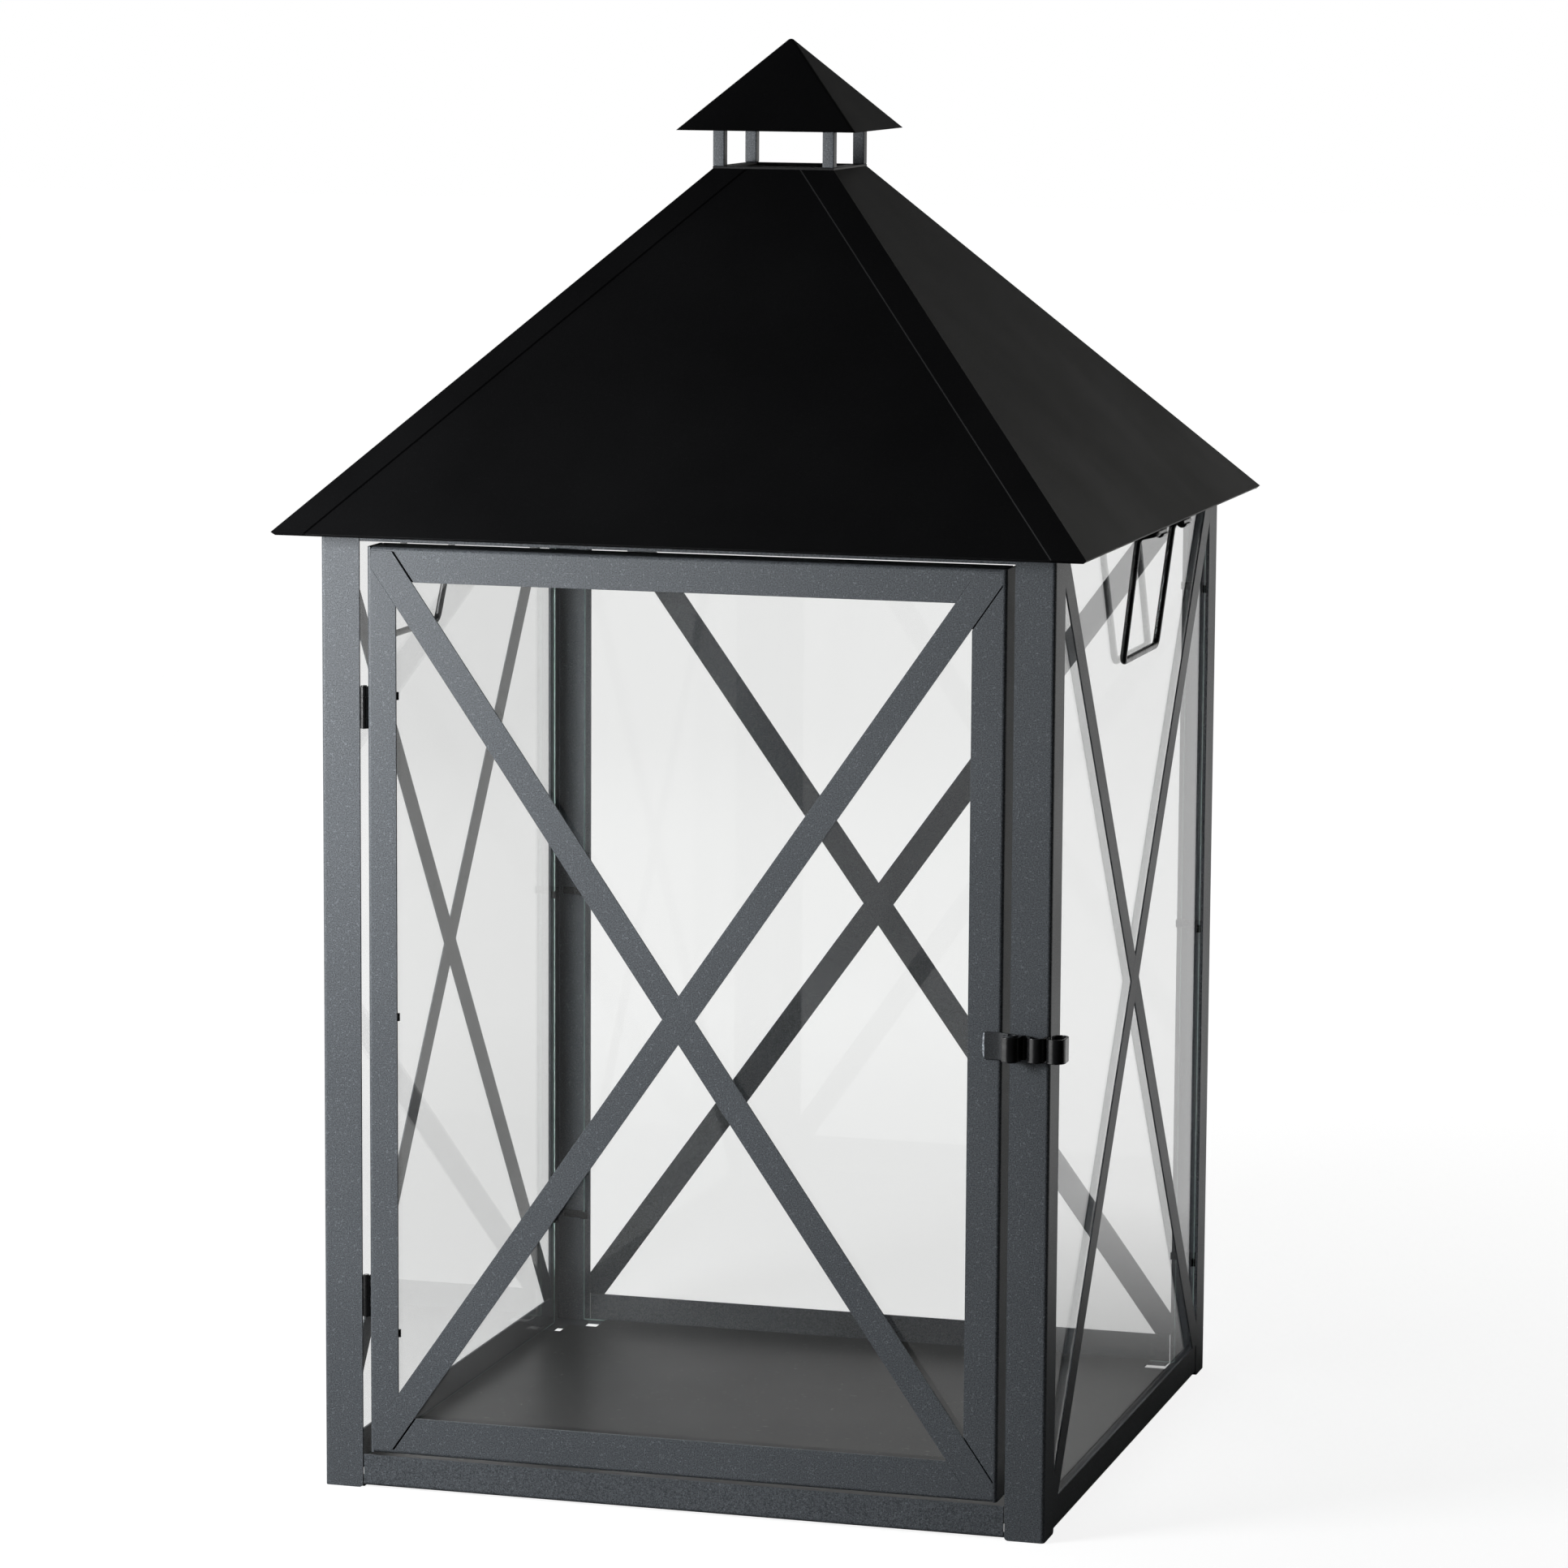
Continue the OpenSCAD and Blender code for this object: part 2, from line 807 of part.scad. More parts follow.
// Section through a roof skin, r outwards and z up, from depth d0 to d1 under the
// outer skin; the hem doubles it below the lower edge
module skin_section(d0) {
    function at(along, deep) = [
        eave_half - along * cos(slope) - deep * sin(slope),
        eave_z + along * sin(slope) - deep * cos(slope)
    ];
    function top_at(deep) = [roof_top_half - deep / sin(slope), roof_top_z];
    polygon([
        at(0, d0),
        top_at(d0),
        top_at(d0 + roof_t),
        at(hem_w, d0 + roof_t),
        at(hem_w, d0 + 2 * roof_t),
        at(0, d0 + 2 * roof_t)
    ]);
}

// One slope of the roof as it lies at the front, still without its ends
module slope_slab(d0) {
    length = 2 * eave_half + 2;
    translate([length / 2, 0, 0])
        rotate([90, 0, -90])
            linear_extrude(length)
                skin_section(d0);
}

// Column over the plan outline of the front quarter, between the hip lines
module front_quarter() {
    reach = eave_half + 1;
    translate([0, 0, eave_z - 10])
        linear_extrude(roof_rise + 20)
            polygon([[0, 0], [-reach, -reach], [reach, -reach]]);
}

// Column over the plan outline of a lap beside the front right hip
module lap_column() {
    reach = eave_half + 1;
    translate([0, 0, eave_z - 10])
        linear_extrude(roof_rise + 20)
            polygon([[0, 0], [-flange_w, 0], [reach - flange_w, -reach], [reach, -reach]]);
}

module roof_face(n) {
    color(roof_paint)
        side(n)
            intersection() {
                slope_slab(front_skin);
                front_quarter();
            }
}

// A side panel with its two laps over the front and the back panels
module roof_side(mirror_x) {
    color(roof_paint)
        mirror([mirror_x, 0, 0])
            union() {
                side(1)
                    intersection() {
                        slope_slab(side_skin);
                        front_quarter();
                    }
                for (m = [0, 1])
                    mirror([0, m, 0])
                        intersection() {
                            lap_slab();
                            lap_column();
                        }
            }
}

// The laps have no hem, so that they lie flat on the front panel
module lap_slab() {
    difference() {
        slope_slab(side_skin);
        slope_slab(front_skin);
    }
}

module roof_collar() {
    color(roof_paint)
        translate([0, 0, roof_top_z])
            linear_extrude(collar_t)
                difference() {
                    square(roof_top_w, center = true);
                    square(roof_top_w - 2 * collar_w, center = true);
                }
}

// Pyramid with a square base of width w, as two crossed wedges
module pyramid(w, rise) {
    intersection() {
        wedge(w, rise);
        rotate([0, 0, 90])
            wedge(w, rise);
    }
}

module wedge(w, rise) {
    rotate([90, 0, 0])
        linear_extrude(w, center = true)
            polygon([[-w / 2, 0], [w / 2, 0], [0, rise]]);
}

cap_z = roof_top_z + vent_h;
cap_slope = atan2(cap_rise, cap_w / 2);
cap_drop = cap_t / cos(cap_slope);

// A chimney post, cut on top to lie under the slopes of the cap
module chimney_post(mirror_x, mirror_y) {
    color(paint)
        mirror([mirror_x, 0, 0])
            mirror([0, mirror_y, 0])
                intersection() {
                    translate([-roof_top_half, -roof_top_half, roof_top_z + collar_t])
                        cube([stub_w, stub_w, vent_h + cap_rise]);
                    translate([0, 0, cap_z - cap_drop])
                        union() {
                            pyramid(cap_w, cap_rise);
                            translate([0, 0, -vent_h])
                                cube([cap_w, cap_w, 2 * vent_h], center = true);
                        }
                }
}

module chimney_cap() {
    color(roof_paint)
        translate([0, 0, cap_z])
            difference() {
                pyramid(cap_w, cap_rise);
                translate([0, 0, -cap_drop])
                    pyramid(cap_w, cap_rise);
            }
}

// ---- handles ----

// Eyes of the right handle, rolled from straps that lie under the eave's hem
module handle_eyes() {
    color(gloss)
        for (s = [-1, 1])
            translate([0, s * eye_span / 2, 0])
                rotate([90, 0, 0])
                    linear_extrude(eye_len, center = true)
                        difference() {
                            union() {
                                translate([pivot_x, pivot_z])
                                    circle(eye_r);
                                strap_section();
                            }
                            translate([pivot_x, pivot_z])
                                circle(wire_r + run_gap);
                        }
}

module strap_section() {
    translate([eave_half, eave_z])
        rotate(180 - slope)
            translate([eye_inset, 2 * roof_t])
                square([strap_len, eye_wall]);
}

// Small balls join the wire's runs and bends into one solid
weld = 0.02;

// Half of the wire: centre points from the pivot's end to the middle of the bar,
// seen from the pivot with +X towards the outside
function wire_points() = [
    [0, (eye_span - eye_len) / 2 - wire_end, 0],
    [0, handle_w_top / 2, 0],
    [-handle_step, handle_w_top / 2, -handle_step_drop],
    [-handle_step, handle_w_bottom / 2, -handle_len],
    [-handle_step, 0, -handle_len]
];

function unit(v) = v / norm(v);

// Distance from the corner p between a and b to where its bend begins
function bend_cut(a, p, b) =
    bend_r / tan(acos(unit(a - p) * unit(b - p)) / 2);

// Straight run of wire from a to b, shortened by the bends at its ends
module wire_run(a, b, cut_a, cut_b) {
    d = b - a;
    long = norm(d) - cut_a - cut_b;
    translate(a + cut_a * unit(d))
        rotate([0, acos(d[2] / norm(d)), atan2(d[1], d[0])])
            cylinder(r = wire_r, h = long);
}

// Bend of the wire round the corner p, on the way from a to b
module wire_bend(a, p, b) {
    half = acos(unit(a - p) * unit(b - p)) / 2;
    centre = p + unit(unit(a - p) + unit(b - p)) * bend_r / sin(half);
    x = unit(p + bend_cut(a, p, b) * unit(a - p) - centre);
    y = unit(p - a);
    z = cross(x, y);
    multmatrix([
        [x[0], y[0], z[0], centre[0]],
        [x[1], y[1], z[1], centre[1]],
        [x[2], y[2], z[2], centre[2]]
    ])
        rotate_extrude(angle = 180 - 2 * half)
            translate([bend_r, 0])
                circle(wire_r);
}

// Wire handle about its pivot, turned outwards by the angle given
module handle(turn) {
    color(gloss)
        translate([pivot_x, 0, pivot_z])
            rotate([0, -turn, 0])
                for (m = [0, 1])
                    mirror([0, m, 0])
                        half_wire(wire_points());
}

module half_wire(p) {
    last = len(p) - 1;
    cuts = [
        for (i = [0 : last])
            i == 0 || i == last ? 0 : bend_cut(p[i - 1], p[i], p[i + 1])
    ];
    for (i = [0 : last - 1])
        wire_run(p[i], p[i + 1], cuts[i], cuts[i + 1]);
    for (i = [1 : last - 1]) {
        wire_bend(p[i - 1], p[i], p[i + 1]);
        for (q = [p[i - 1], p[i + 1]])
            translate(p[i] + cuts[i] * unit(q - p[i]))
                sphere(wire_r + weld);
    }
}

post(0, 0);  // post_front_left
post(1, 0);  // post_front_right
post(0, 1);  // post_back_left
post(1, 1);  // post_back_right
bottom_rail();  // bottom_rail_front
side(2) bottom_rail();  // bottom_rail_back
side(3) bottom_rail();  // bottom_rail_left
side(1) bottom_rail();  // bottom_rail_right
top_rail(front_skin);  // top_rail_front
side(2) top_rail(front_skin);  // top_rail_back
side(3) top_rail(side_skin);  // top_rail_left
side(1) top_rail(side_skin);  // top_rail_right
floor_tray();
side(3) side_glass();  // glass_left
side(1) side_glass();  // glass_right
side(2) side_glass();  // glass_back
side(3) side_clips();  // glass_clips_left
side(1) side_clips();  // glass_clips_right
side(2) side_clips();  // glass_clips_back
side(3) side_rising();  // strip_left_rising
side(3) side_falling();  // strip_left_falling
side(1) side_rising();  // strip_right_rising
side(1) side_falling();  // strip_right_falling
side(2) side_rising();  // strip_back_rising
side(2) side_falling();  // strip_back_falling
roof_face(0);  // roof_front
roof_face(2);  // roof_back
roof_side(1);  // roof_left
roof_side(0);  // roof_right
roof_collar();
chimney_post(0, 0);  // chimney_post_1
chimney_post(1, 0);  // chimney_post_2
chimney_post(1, 1);  // chimney_post_3
chimney_post(0, 1);  // chimney_post_4
chimney_cap();
mirror([1, 0, 0]) handle_eyes();  // handle_eyes_left
handle_eyes();  // handle_eyes_right
mirror([1, 0, 0]) handle(hang_angle);  // handle_left
handle(-lean_angle);  // handle_right
post_leaf(hinge_upper_z);  // hinge_upper_post_leaf
post_leaf(hinge_lower_z);  // hinge_lower_post_leaf
door_leaf(hinge_upper_z);  // hinge_upper_door_leaf
door_leaf(hinge_lower_z);  // hinge_lower_door_leaf
hinge_pin(hinge_upper_z);  // hinge_pin_upper
hinge_pin(hinge_lower_z);  // hinge_pin_lower
door_stile(0, stile_w);  // door_stile_hinge
door_stile(1, latch_stile_w);  // door_stile_latch
door_rail(1, door_top_w);  // door_rail_top
door_rail(0, door_bottom_w);  // door_rail_bottom
door_strip_rising();
door_strip_falling();
door_glass();
door_glass_clips();
latch_tongue();
latch_hook();
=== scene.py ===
"""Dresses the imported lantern: painted sheet steel, window glass, wire handles and the studio."""

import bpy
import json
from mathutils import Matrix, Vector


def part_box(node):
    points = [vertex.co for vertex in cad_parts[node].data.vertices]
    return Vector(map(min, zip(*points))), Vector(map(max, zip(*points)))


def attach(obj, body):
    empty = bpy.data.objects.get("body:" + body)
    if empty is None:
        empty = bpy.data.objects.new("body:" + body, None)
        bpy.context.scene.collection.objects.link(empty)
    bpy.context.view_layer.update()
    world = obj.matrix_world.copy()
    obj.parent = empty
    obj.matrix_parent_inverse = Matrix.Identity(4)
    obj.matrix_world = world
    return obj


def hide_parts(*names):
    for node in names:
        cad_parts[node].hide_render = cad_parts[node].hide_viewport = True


bl_info = {
    "name": "Square Candle Lantern",
    "version": (1, 0, 0),
    "blender": (4, 5, 0),
    "location": "View3D > Sidebar > Lantern",
    "description": "Finishes a floor-standing candle lantern piece by piece",
    "category": "Object",
}

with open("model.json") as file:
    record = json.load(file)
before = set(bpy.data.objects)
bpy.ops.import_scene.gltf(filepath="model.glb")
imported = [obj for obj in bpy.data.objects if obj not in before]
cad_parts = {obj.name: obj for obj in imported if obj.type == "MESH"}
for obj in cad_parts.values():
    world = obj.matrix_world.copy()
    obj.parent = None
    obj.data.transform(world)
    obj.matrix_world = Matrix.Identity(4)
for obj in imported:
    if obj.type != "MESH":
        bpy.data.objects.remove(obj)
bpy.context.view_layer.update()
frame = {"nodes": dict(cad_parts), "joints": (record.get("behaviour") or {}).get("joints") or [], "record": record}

import json
import math

import bmesh
import bpy
from bpy.props import FloatProperty, FloatVectorProperty, IntProperty, PointerProperty
from mathutils import Matrix, Vector, noise

MM = 0.001
JOINTS = {j["name"]: j for j in frame["joints"]}
BODY_OF = {n: body for body, names in frame["record"]["behaviour"]["bodies"].items() for n in names}

# Rounding of edges that differ from the common cut edge, in metres
STRIP_EDGE = 0.14 * MM
CLIP_EDGE = 0.12 * MM
LEAF_EDGE = 0.16 * MM
PANE_EDGE = 0.3 * MM
POST_EDGE = 0.5 * MM
CAP_EDGE = 1.2 * MM

# Points closer than this are one point, in a CAD solid and in a swept strip or wire, in metres
SOLID_JOIN = 2e-6
SWEEP_JOIN = 1e-6

# Faces of a CAD solid whose angle is less than this are one face, in degrees
FLAT_ANGLE = 0.4

# Roof, in millimetres: its rise, and its half-width at the eave and at the open top
ROOF_RISE = 174.0
EAVE_HALF = 205.0
ROOF_TOP_HALF = 31.75
ROOF_RUN = EAVE_HALF - ROOF_TOP_HALF

# Least length of a roof hip and of a corner of the cap, and least fall of that corner, in metres
HIP_LENGTH = 0.2
CAP_CORNER_LENGTH = 0.03
CAP_CORNER_FALL = 0.02

# A lap's cut edge has less area than this, in square metres, and lies this far from the ridge
LAP_EDGE_AREA = 4e-4
LAP_EDGE_OUT = 0.03

# Latch, in millimetres: gauge and widths of its strips
LATCH_GAUGE = 1.2
HOOK_WIDTH = 12.0
TONGUE_WIDTH = 13.4

# Rolls of hook and tongue about the pivot: radius in millimetres, first angle and turn in degrees
HOOK_ROLL = 4.35
HOOK_ROLL_START = 138
HOOK_ROLL_TURN = -138
TONGUE_ROLL = 3.05
TONGUE_ROLL_START = 232
TONGUE_ROLL_TURN = 290

# Angle between two points on an arc, in degrees, where nothing else is said, and on a roll
ARC_STEP = 9
ROLL_STEP = 12

# Curls of the hook past its roll: distance from the pivot along the door, distance from the
# door's face, radius, first and last angle, and angle between two points
HOOK_CURLS = (
    (6.55, 3.2, 2.2, 180, 360, ARC_STEP),
    (12.65, 4.6, 3.9, 180, 0, ARC_STEP),
    (17.35, 1.8, 0.8, 180, 360, 20),
    (22.35, 4.2, 4.2, 180, 0, ARC_STEP),
    (22.975, -1.5, 3.575, 0, -180, ARC_STEP),
)

# Tongue before its roll: place along the door and distance from its face
TONGUE_FLAT = ((153.6, 0.62), (160.0, 0.62), (161.8, 1.15), (163.6, 1.3))

# Weld at the tongue's end, in millimetres: its middle, and half its width, height and length
WELD_X = 153.9
WELD_PROUD = 0.25
WELD_HALF = (1.5, 1.0, 6.7)

# Handle, in millimetres: where the wire ends, half its width at the top and at the bar, how far
# its legs step out, how far they drop there, and its length
WIRE_END = 20.1
HALF_TOP = 40.3
HALF_BAR = 38.0
STEP = 8.3
STEP_DROP = 3.0
HANDLE_LENGTH = 66.5
WIRE_SIDES = 28

# Eyes of a handle, in millimetres and degrees: place, width, gauge and roll of a strap, and the
# two ends of its flat, from the pivot
EYE_OFFSET = 26.6
EYE_WIDTH = 9.9
EYE_GAUGE = 1.0
EYE_ROLL = 2.3
EYE_TURN = 298
STRAP_START = 13.9
STRAP_END = 6.0

# Camera that took the photograph: its turns in degrees, its aim and distance in millimetres
VIEW_AZIMUTH = 16.041
VIEW_HEIGHT = 8.229
VIEW_ROLL = 0.353
VIEW_AIM = (-1.37, 0, 339.44)
VIEW_DISTANCE = 3004
SENSOR = 36

# Colours of the lamps
COOL = (0.96, 0.98, 1.0)
WARM = (1.0, 0.98, 0.87)
WHITE = (1.0, 1.0, 1.0)

# Studio floor, in metres: half its width, and how far it lies under the feet
FLOOR_HALF = 14
FLOOR_DROP = 0.2 * MM


# ---------------------------------------------------------------- settings


class FinishSettings(bpy.types.PropertyGroup):
    """Colours and surface of the lantern's finishes"""

    coat_colour: FloatVectorProperty(
        name="Frame coat",
        description="Dark grey sand-textured coat of the posts, rails, strips and door",
        subtype="COLOR", size=3, min=0, max=1, default=(0.082, 0.089, 0.097))
    roof_colour: FloatVectorProperty(
        name="Roof coat",
        description="Near-black coat of the roof and the cap",
        subtype="COLOR", size=3, min=0, max=1, default=(0.0042, 0.0042, 0.0045))
    tray_colour: FloatVectorProperty(
        name="Floor tray",
        description="Dull dark coat of the tray inside",
        subtype="COLOR", size=3, min=0, max=1, default=(0.0112, 0.0118, 0.0104))
    hardware_colour: FloatVectorProperty(
        name="Hardware",
        description="Glossy black of the handles, hinges and latch",
        subtype="COLOR", size=3, min=0, max=1, default=(0.008, 0.008, 0.0085))
    glass_tint: FloatVectorProperty(
        name="Glass",
        description="Tint of light that passes a pane",
        subtype="COLOR", size=3, min=0, max=1, default=(0.935, 0.938, 0.935))
    glass_edge: FloatVectorProperty(
        name="Glass edge",
        description="Green of the cut edges of the panes",
        subtype="COLOR", size=3, min=0, max=1, default=(0.62, 0.86, 0.8))
    grain_size: FloatProperty(
        name="Coat grain",
        description="Width of one grain of the sand texture",
        subtype="DISTANCE", unit="LENGTH", min=0.0002, max=0.005, default=0.0006)


class SheetSettings(bpy.types.PropertyGroup):
    """Rounding of the steel pieces"""

    edge_round: FloatProperty(
        name="Cut edges",
        description="Rounding of the sheared edges under the coat",
        subtype="DISTANCE", unit="LENGTH", min=0.00005, max=0.0006, default=0.00018)
    hip_round: FloatProperty(
        name="Roof hips",
        description="Width of the rounded fold along the hips of the roof",
        subtype="DISTANCE", unit="LENGTH", min=0.0005, max=0.006, default=0.0028)
    edge_steps: IntProperty(
        name="Edge steps",
        description="Facets across a rounded edge",
        min=1, max=5, default=2)


class HardwareSettings(bpy.types.PropertyGroup):
    """Sizes of the wire, the eyes and the latch strip"""

    wire_radius: FloatProperty(
        name="Wire radius",
        description="Radius of the handle wire",
        subtype="DISTANCE", unit="LENGTH", min=0.001, max=0.003, default=1.75 * MM)
    bend_radius: FloatProperty(
        name="Bend radius",
        description="Radius of the wire's bends along its centreline",
        subtype="DISTANCE", unit="LENGTH", min=0.002, max=0.006, default=4 * MM)
    strip_round: FloatProperty(
        name="Strip edge",
        description="Rounding of the edges of the rolled strips",
        subtype="DISTANCE", unit="LENGTH", min=0.00005, max=0.0005, default=0.25 * MM)


class StageSettings(bpy.types.PropertyGroup):
    """Camera, lamps and floor"""

    lens: FloatProperty(
        name="Lens",
        description="Focal length on a 36 mm sensor, in millimetres",
        min=20, max=300, default=133.3)
    key_power: FloatProperty(
        name="Front lamp", description="Power of the soft lamp near the front left, in watts",
        min=0, max=500, default=10)
    fill_power: FloatProperty(
        name="Right lamp", description="Power of the warm soft lamp at the back right, in watts",
        min=0, max=500, default=3.2)
    back_power: FloatProperty(
        name="Back lamp", description="Power of the soft lamp behind at the left, in watts",
        min=0, max=500, default=8)
    room_level: FloatProperty(
        name="Room", description="Strength of the pale room as it lights the object",
        min=0, max=2, default=0.05)


# ---------------------------------------------------------------- materials


class Nodes:
    """The node tree of a material or a world, written from its inputs to its outputs"""

    def __init__(self, name, world=False):
        self.owner = bpy.data.worlds.new(name) if world else bpy.data.materials.new(name)
        self.owner.use_nodes = True
        self.tree = self.owner.node_tree
        self.tree.nodes.clear()
        self.out = self.tree.nodes.new("ShaderNodeOutputWorld" if world else "ShaderNodeOutputMaterial")
        self.place = self.tree.nodes.new("ShaderNodeTexCoord").outputs["Generated" if world else "Object"]

    def add(self, kind, values=None, **settings):
        """A node with its inputs set or linked"""
        n = self.tree.nodes.new(kind)
        for key, value in settings.items():
            setattr(n, key, value)
        for key, value in (values or {}).items():
            if isinstance(value, bpy.types.NodeSocket):
                self.tree.links.new(value, n.inputs[key])
            else:
                n.inputs[key].default_value = value
        return n

    def noise(self, scale, detail=2.0, rough=0.5, place=None):
        """Noise about 0.5, as many waves to a metre as the scale says"""
        return self.add("ShaderNodeTexNoise", {
            "Vector": place or self.place, "Scale": scale, "Detail": detail, "Roughness": rough,
        }).outputs["Fac"]

    def span(self, value, low, high, to_low, to_high):
        """Value taken from one range to another, and held at its ends"""
        return self.add("ShaderNodeMapRange", {
            "Value": value, "From Min": low, "From Max": high, "To Min": to_low, "To Max": to_high,
        }).outputs["Result"]

    def times(self, a, b):
        """Product of two values"""
        return self.add("ShaderNodeMath", {0: a, 1: b}, operation="MULTIPLY").outputs[0]

    def either(self, a, b):
        """Sum that stops at 1"""
        return self.add("ShaderNodeMath", {0: a, 1: b}, operation="ADD", use_clamp=True).outputs[0]

    def plus(self, a, b):
        """Sum of two values"""
        return self.add("ShaderNodeMath", {0: a, 1: b}, operation="ADD").outputs[0]

    def blend(self, factor, a, b):
        """First value at factor 0, second at factor 1"""
        values = {"Factor": factor, "A": a, "B": b}
        return self.add("ShaderNodeMix", values, data_type="FLOAT").outputs["Result"]

    def sight(self):
        """How far a ray sees the white backdrop, straight or through glass, and how far it mirrors"""
        rays = self.add("ShaderNodeLightPath").outputs
        clear = self.span(rays["Diffuse Depth"], 0, 1, 1, 0)
        seen = self.times(clear, self.either(rays["Is Camera Ray"], rays["Is Transmission Ray"]))
        seen = self.times(seen, self.span(rays["Glossy Depth"], 0, 1, 1, 0.5))
        return seen, self.times(clear, rays["Is Reflection Ray"])

    def softbox(self, way):
        """Glow of a tall softbox at the front left, half as far to the left as to the front"""
        aside = self.add("ShaderNodeMath", {0: way["X"], 1: way["Y"]}, operation="DIVIDE").outputs[0]
        glow = self.span(aside, 0.38, 0.62, 0.0, 3.2)
        return self.times(glow, self.span(way["Y"], -0.1, 0.0, 1.0, 0.0))

    def shade(self, colour, value):
        """The colour, made lighter or darker by a value about 1"""
        n = self.add("ShaderNodeVectorMath", {0: tuple(colour)}, operation="SCALE")
        self.tree.links.new(value, n.inputs["Scale"])
        return n.outputs["Vector"]

    def surface(self, socket):
        """Ends the tree, and gives the material or world"""
        self.tree.links.new(socket, self.out.inputs["Surface"])
        return self.owner


def sand_coat(name, colour, grain, rough, speckle=0.6, spec=0.3, waves=0.0, specks=0.5):
    """Powder coat with a fine sand texture, faint clouds and single pale grains"""
    n = Nodes(name)
    grains = n.noise(1 / grain, 2.5, 0.65)
    clouds = n.noise(11, 3)
    pale = n.noise(0.55 / grain, 0.0)
    drift = 0.04 * (1 + waves)
    tone = n.times(n.span(grains, 0.32, 0.68, 1 - speckle, 1 + speckle),
                   n.span(clouds, 0.3, 0.7, 1 - drift, 1 + drift))
    tone = n.times(tone, n.span(pale, 0.7, 0.78, 1.0, 1.0 + specks))
    bump = n.add("ShaderNodeBump", {"Height": grains, "Strength": 0.5, "Distance": 0.0002})
    p = n.add("ShaderNodeBsdfPrincipled", {
        "Base Color": n.shade(colour, tone),
        "Roughness": n.span(clouds, 0.3, 0.7, rough - 0.04, rough + 0.04),
        "Normal": bump.outputs["Normal"],
        "Specular IOR Level": spec,
    })
    return n.surface(p.outputs[0])


def worn_edge(name, colour):
    """Cut edge of a roof panel, with the coat rubbed off in short stretches"""
    n = Nodes(name)
    rubbed = n.span(n.noise(70, 5, 0.7), 0.6, 0.66, 1.0, 60.0)
    p = n.add("ShaderNodeBsdfPrincipled", {
        "Base Color": n.shade(colour, rubbed), "Roughness": 0.5, "Specular IOR Level": 0.4,
    })
    return n.surface(p.outputs[0])


def weld_bead(name, colour):
    """Rough weld under a thin coat, its lumps painted up to six times lighter as a painted highlight on the bead
    """
    n = Nodes(name)
    lumps = n.noise(800, 3, 0.7)
    bump = n.add("ShaderNodeBump", {"Height": lumps, "Strength": 0.8, "Distance": 0.0003})
    p = n.add("ShaderNodeBsdfPrincipled", {
        # Pale lumps: a painted highlight on the bead
        "Base Color": n.shade(colour, n.span(lumps, 0.35, 0.65, 0.8, 6.0)),
        "Roughness": 0.45, "Normal": bump.outputs["Normal"],
    })
    return n.surface(p.outputs[0])


def open_seam(name):
    """Near-black paint on the seat faces at the bottom of the door's narrow seams: a painted shadow line"""
    n = Nodes(name)
    p = n.add("ShaderNodeBsdfPrincipled", {
        "Base Color": (0.004, 0.004, 0.004, 1.0), "Roughness": 0.8, "Specular IOR Level": 0.1,
    })
    return n.surface(p.outputs[0])


def gloss_paint(name, colour, rough):
    """Brushed-on black paint with soft runs"""
    n = Nodes(name)
    runs = n.noise(260, 2)
    bump = n.add("ShaderNodeBump", {"Height": runs, "Strength": 0.25, "Distance": 0.0003})
    p = n.add("ShaderNodeBsdfPrincipled", {
        "Base Color": n.shade(colour, n.span(runs, 0.3, 0.7, 0.85, 1.2)),
        "Roughness": n.span(n.noise(90, 2), 0.3, 0.7, rough - 0.06, rough + 0.08),
        "Normal": bump.outputs["Normal"],
        "Specular IOR Level": 0.5,
    })
    return n.surface(p.outputs[0])


def tray_coat(name, colour):
    """Smooth dull coat of the tray, with clouds of dust and tiny specks"""
    n = Nodes(name)
    dust = n.noise(16, 4, 0.6)
    specks = n.span(n.noise(420, 0.0), 0.76, 0.82, 1.0, 8.0)
    tone = n.times(n.span(dust, 0.35, 0.7, 0.85, 1.2), specks)
    p = n.add("ShaderNodeBsdfPrincipled", {
        "Base Color": n.shade(colour, tone),
        "Roughness": n.span(dust, 0.35, 0.7, 0.32, 0.36),
        "Specular IOR Level": 0.26,
    })
    return n.surface(p.outputs[0])


def window_glass(name, tint):
    """Clear pane that lets the lamps through, with faint wiped smears"""
    n = Nodes(name)
    stretched = n.add("ShaderNodeMapping", {"Vector": n.place, "Scale": (1.0, 1.0, 0.45)}).outputs[0]
    smear = n.noise(24, 4, 0.72, stretched)
    film = n.span(smear, 0.6, 0.8, 0.0, 0.008)
    p = n.add("ShaderNodeBsdfPrincipled", {
        "Base Color": (*tint, 1.0), "Roughness": 0.0, "IOR": 1.45, "Transmission Weight": 1.0,
    })
    haze = n.add("ShaderNodeBsdfDiffuse", {"Color": (0.8, 0.82, 0.82, 1.0)})
    seen = n.add("ShaderNodeMixShader", {0: film, 1: p.outputs[0], 2: haze.outputs[0]})
    passed = [c * 0.62 for c in tint]
    through = n.add("ShaderNodeBsdfTransparent", {"Color": (*passed, 1.0)})
    lamps = n.add("ShaderNodeLightPath").outputs["Is Shadow Ray"]
    both = n.add("ShaderNodeMixShader", {0: lamps, 1: seen.outputs[0], 2: through.outputs[0]})
    return n.surface(both.outputs[0])


def glass_edge(name, colour):
    """Ground edge of a pane, which gathers the green of the glass"""
    n = Nodes(name)
    ground = n.noise(300, 2)
    p = n.add("ShaderNodeBsdfPrincipled", {
        "Base Color": n.shade(colour, n.span(ground, 0.3, 0.7, 0.8, 1.25)),
        "Roughness": 0.06, "IOR": 1.45, "Transmission Weight": 0.5,
    })
    return n.surface(p.outputs[0])


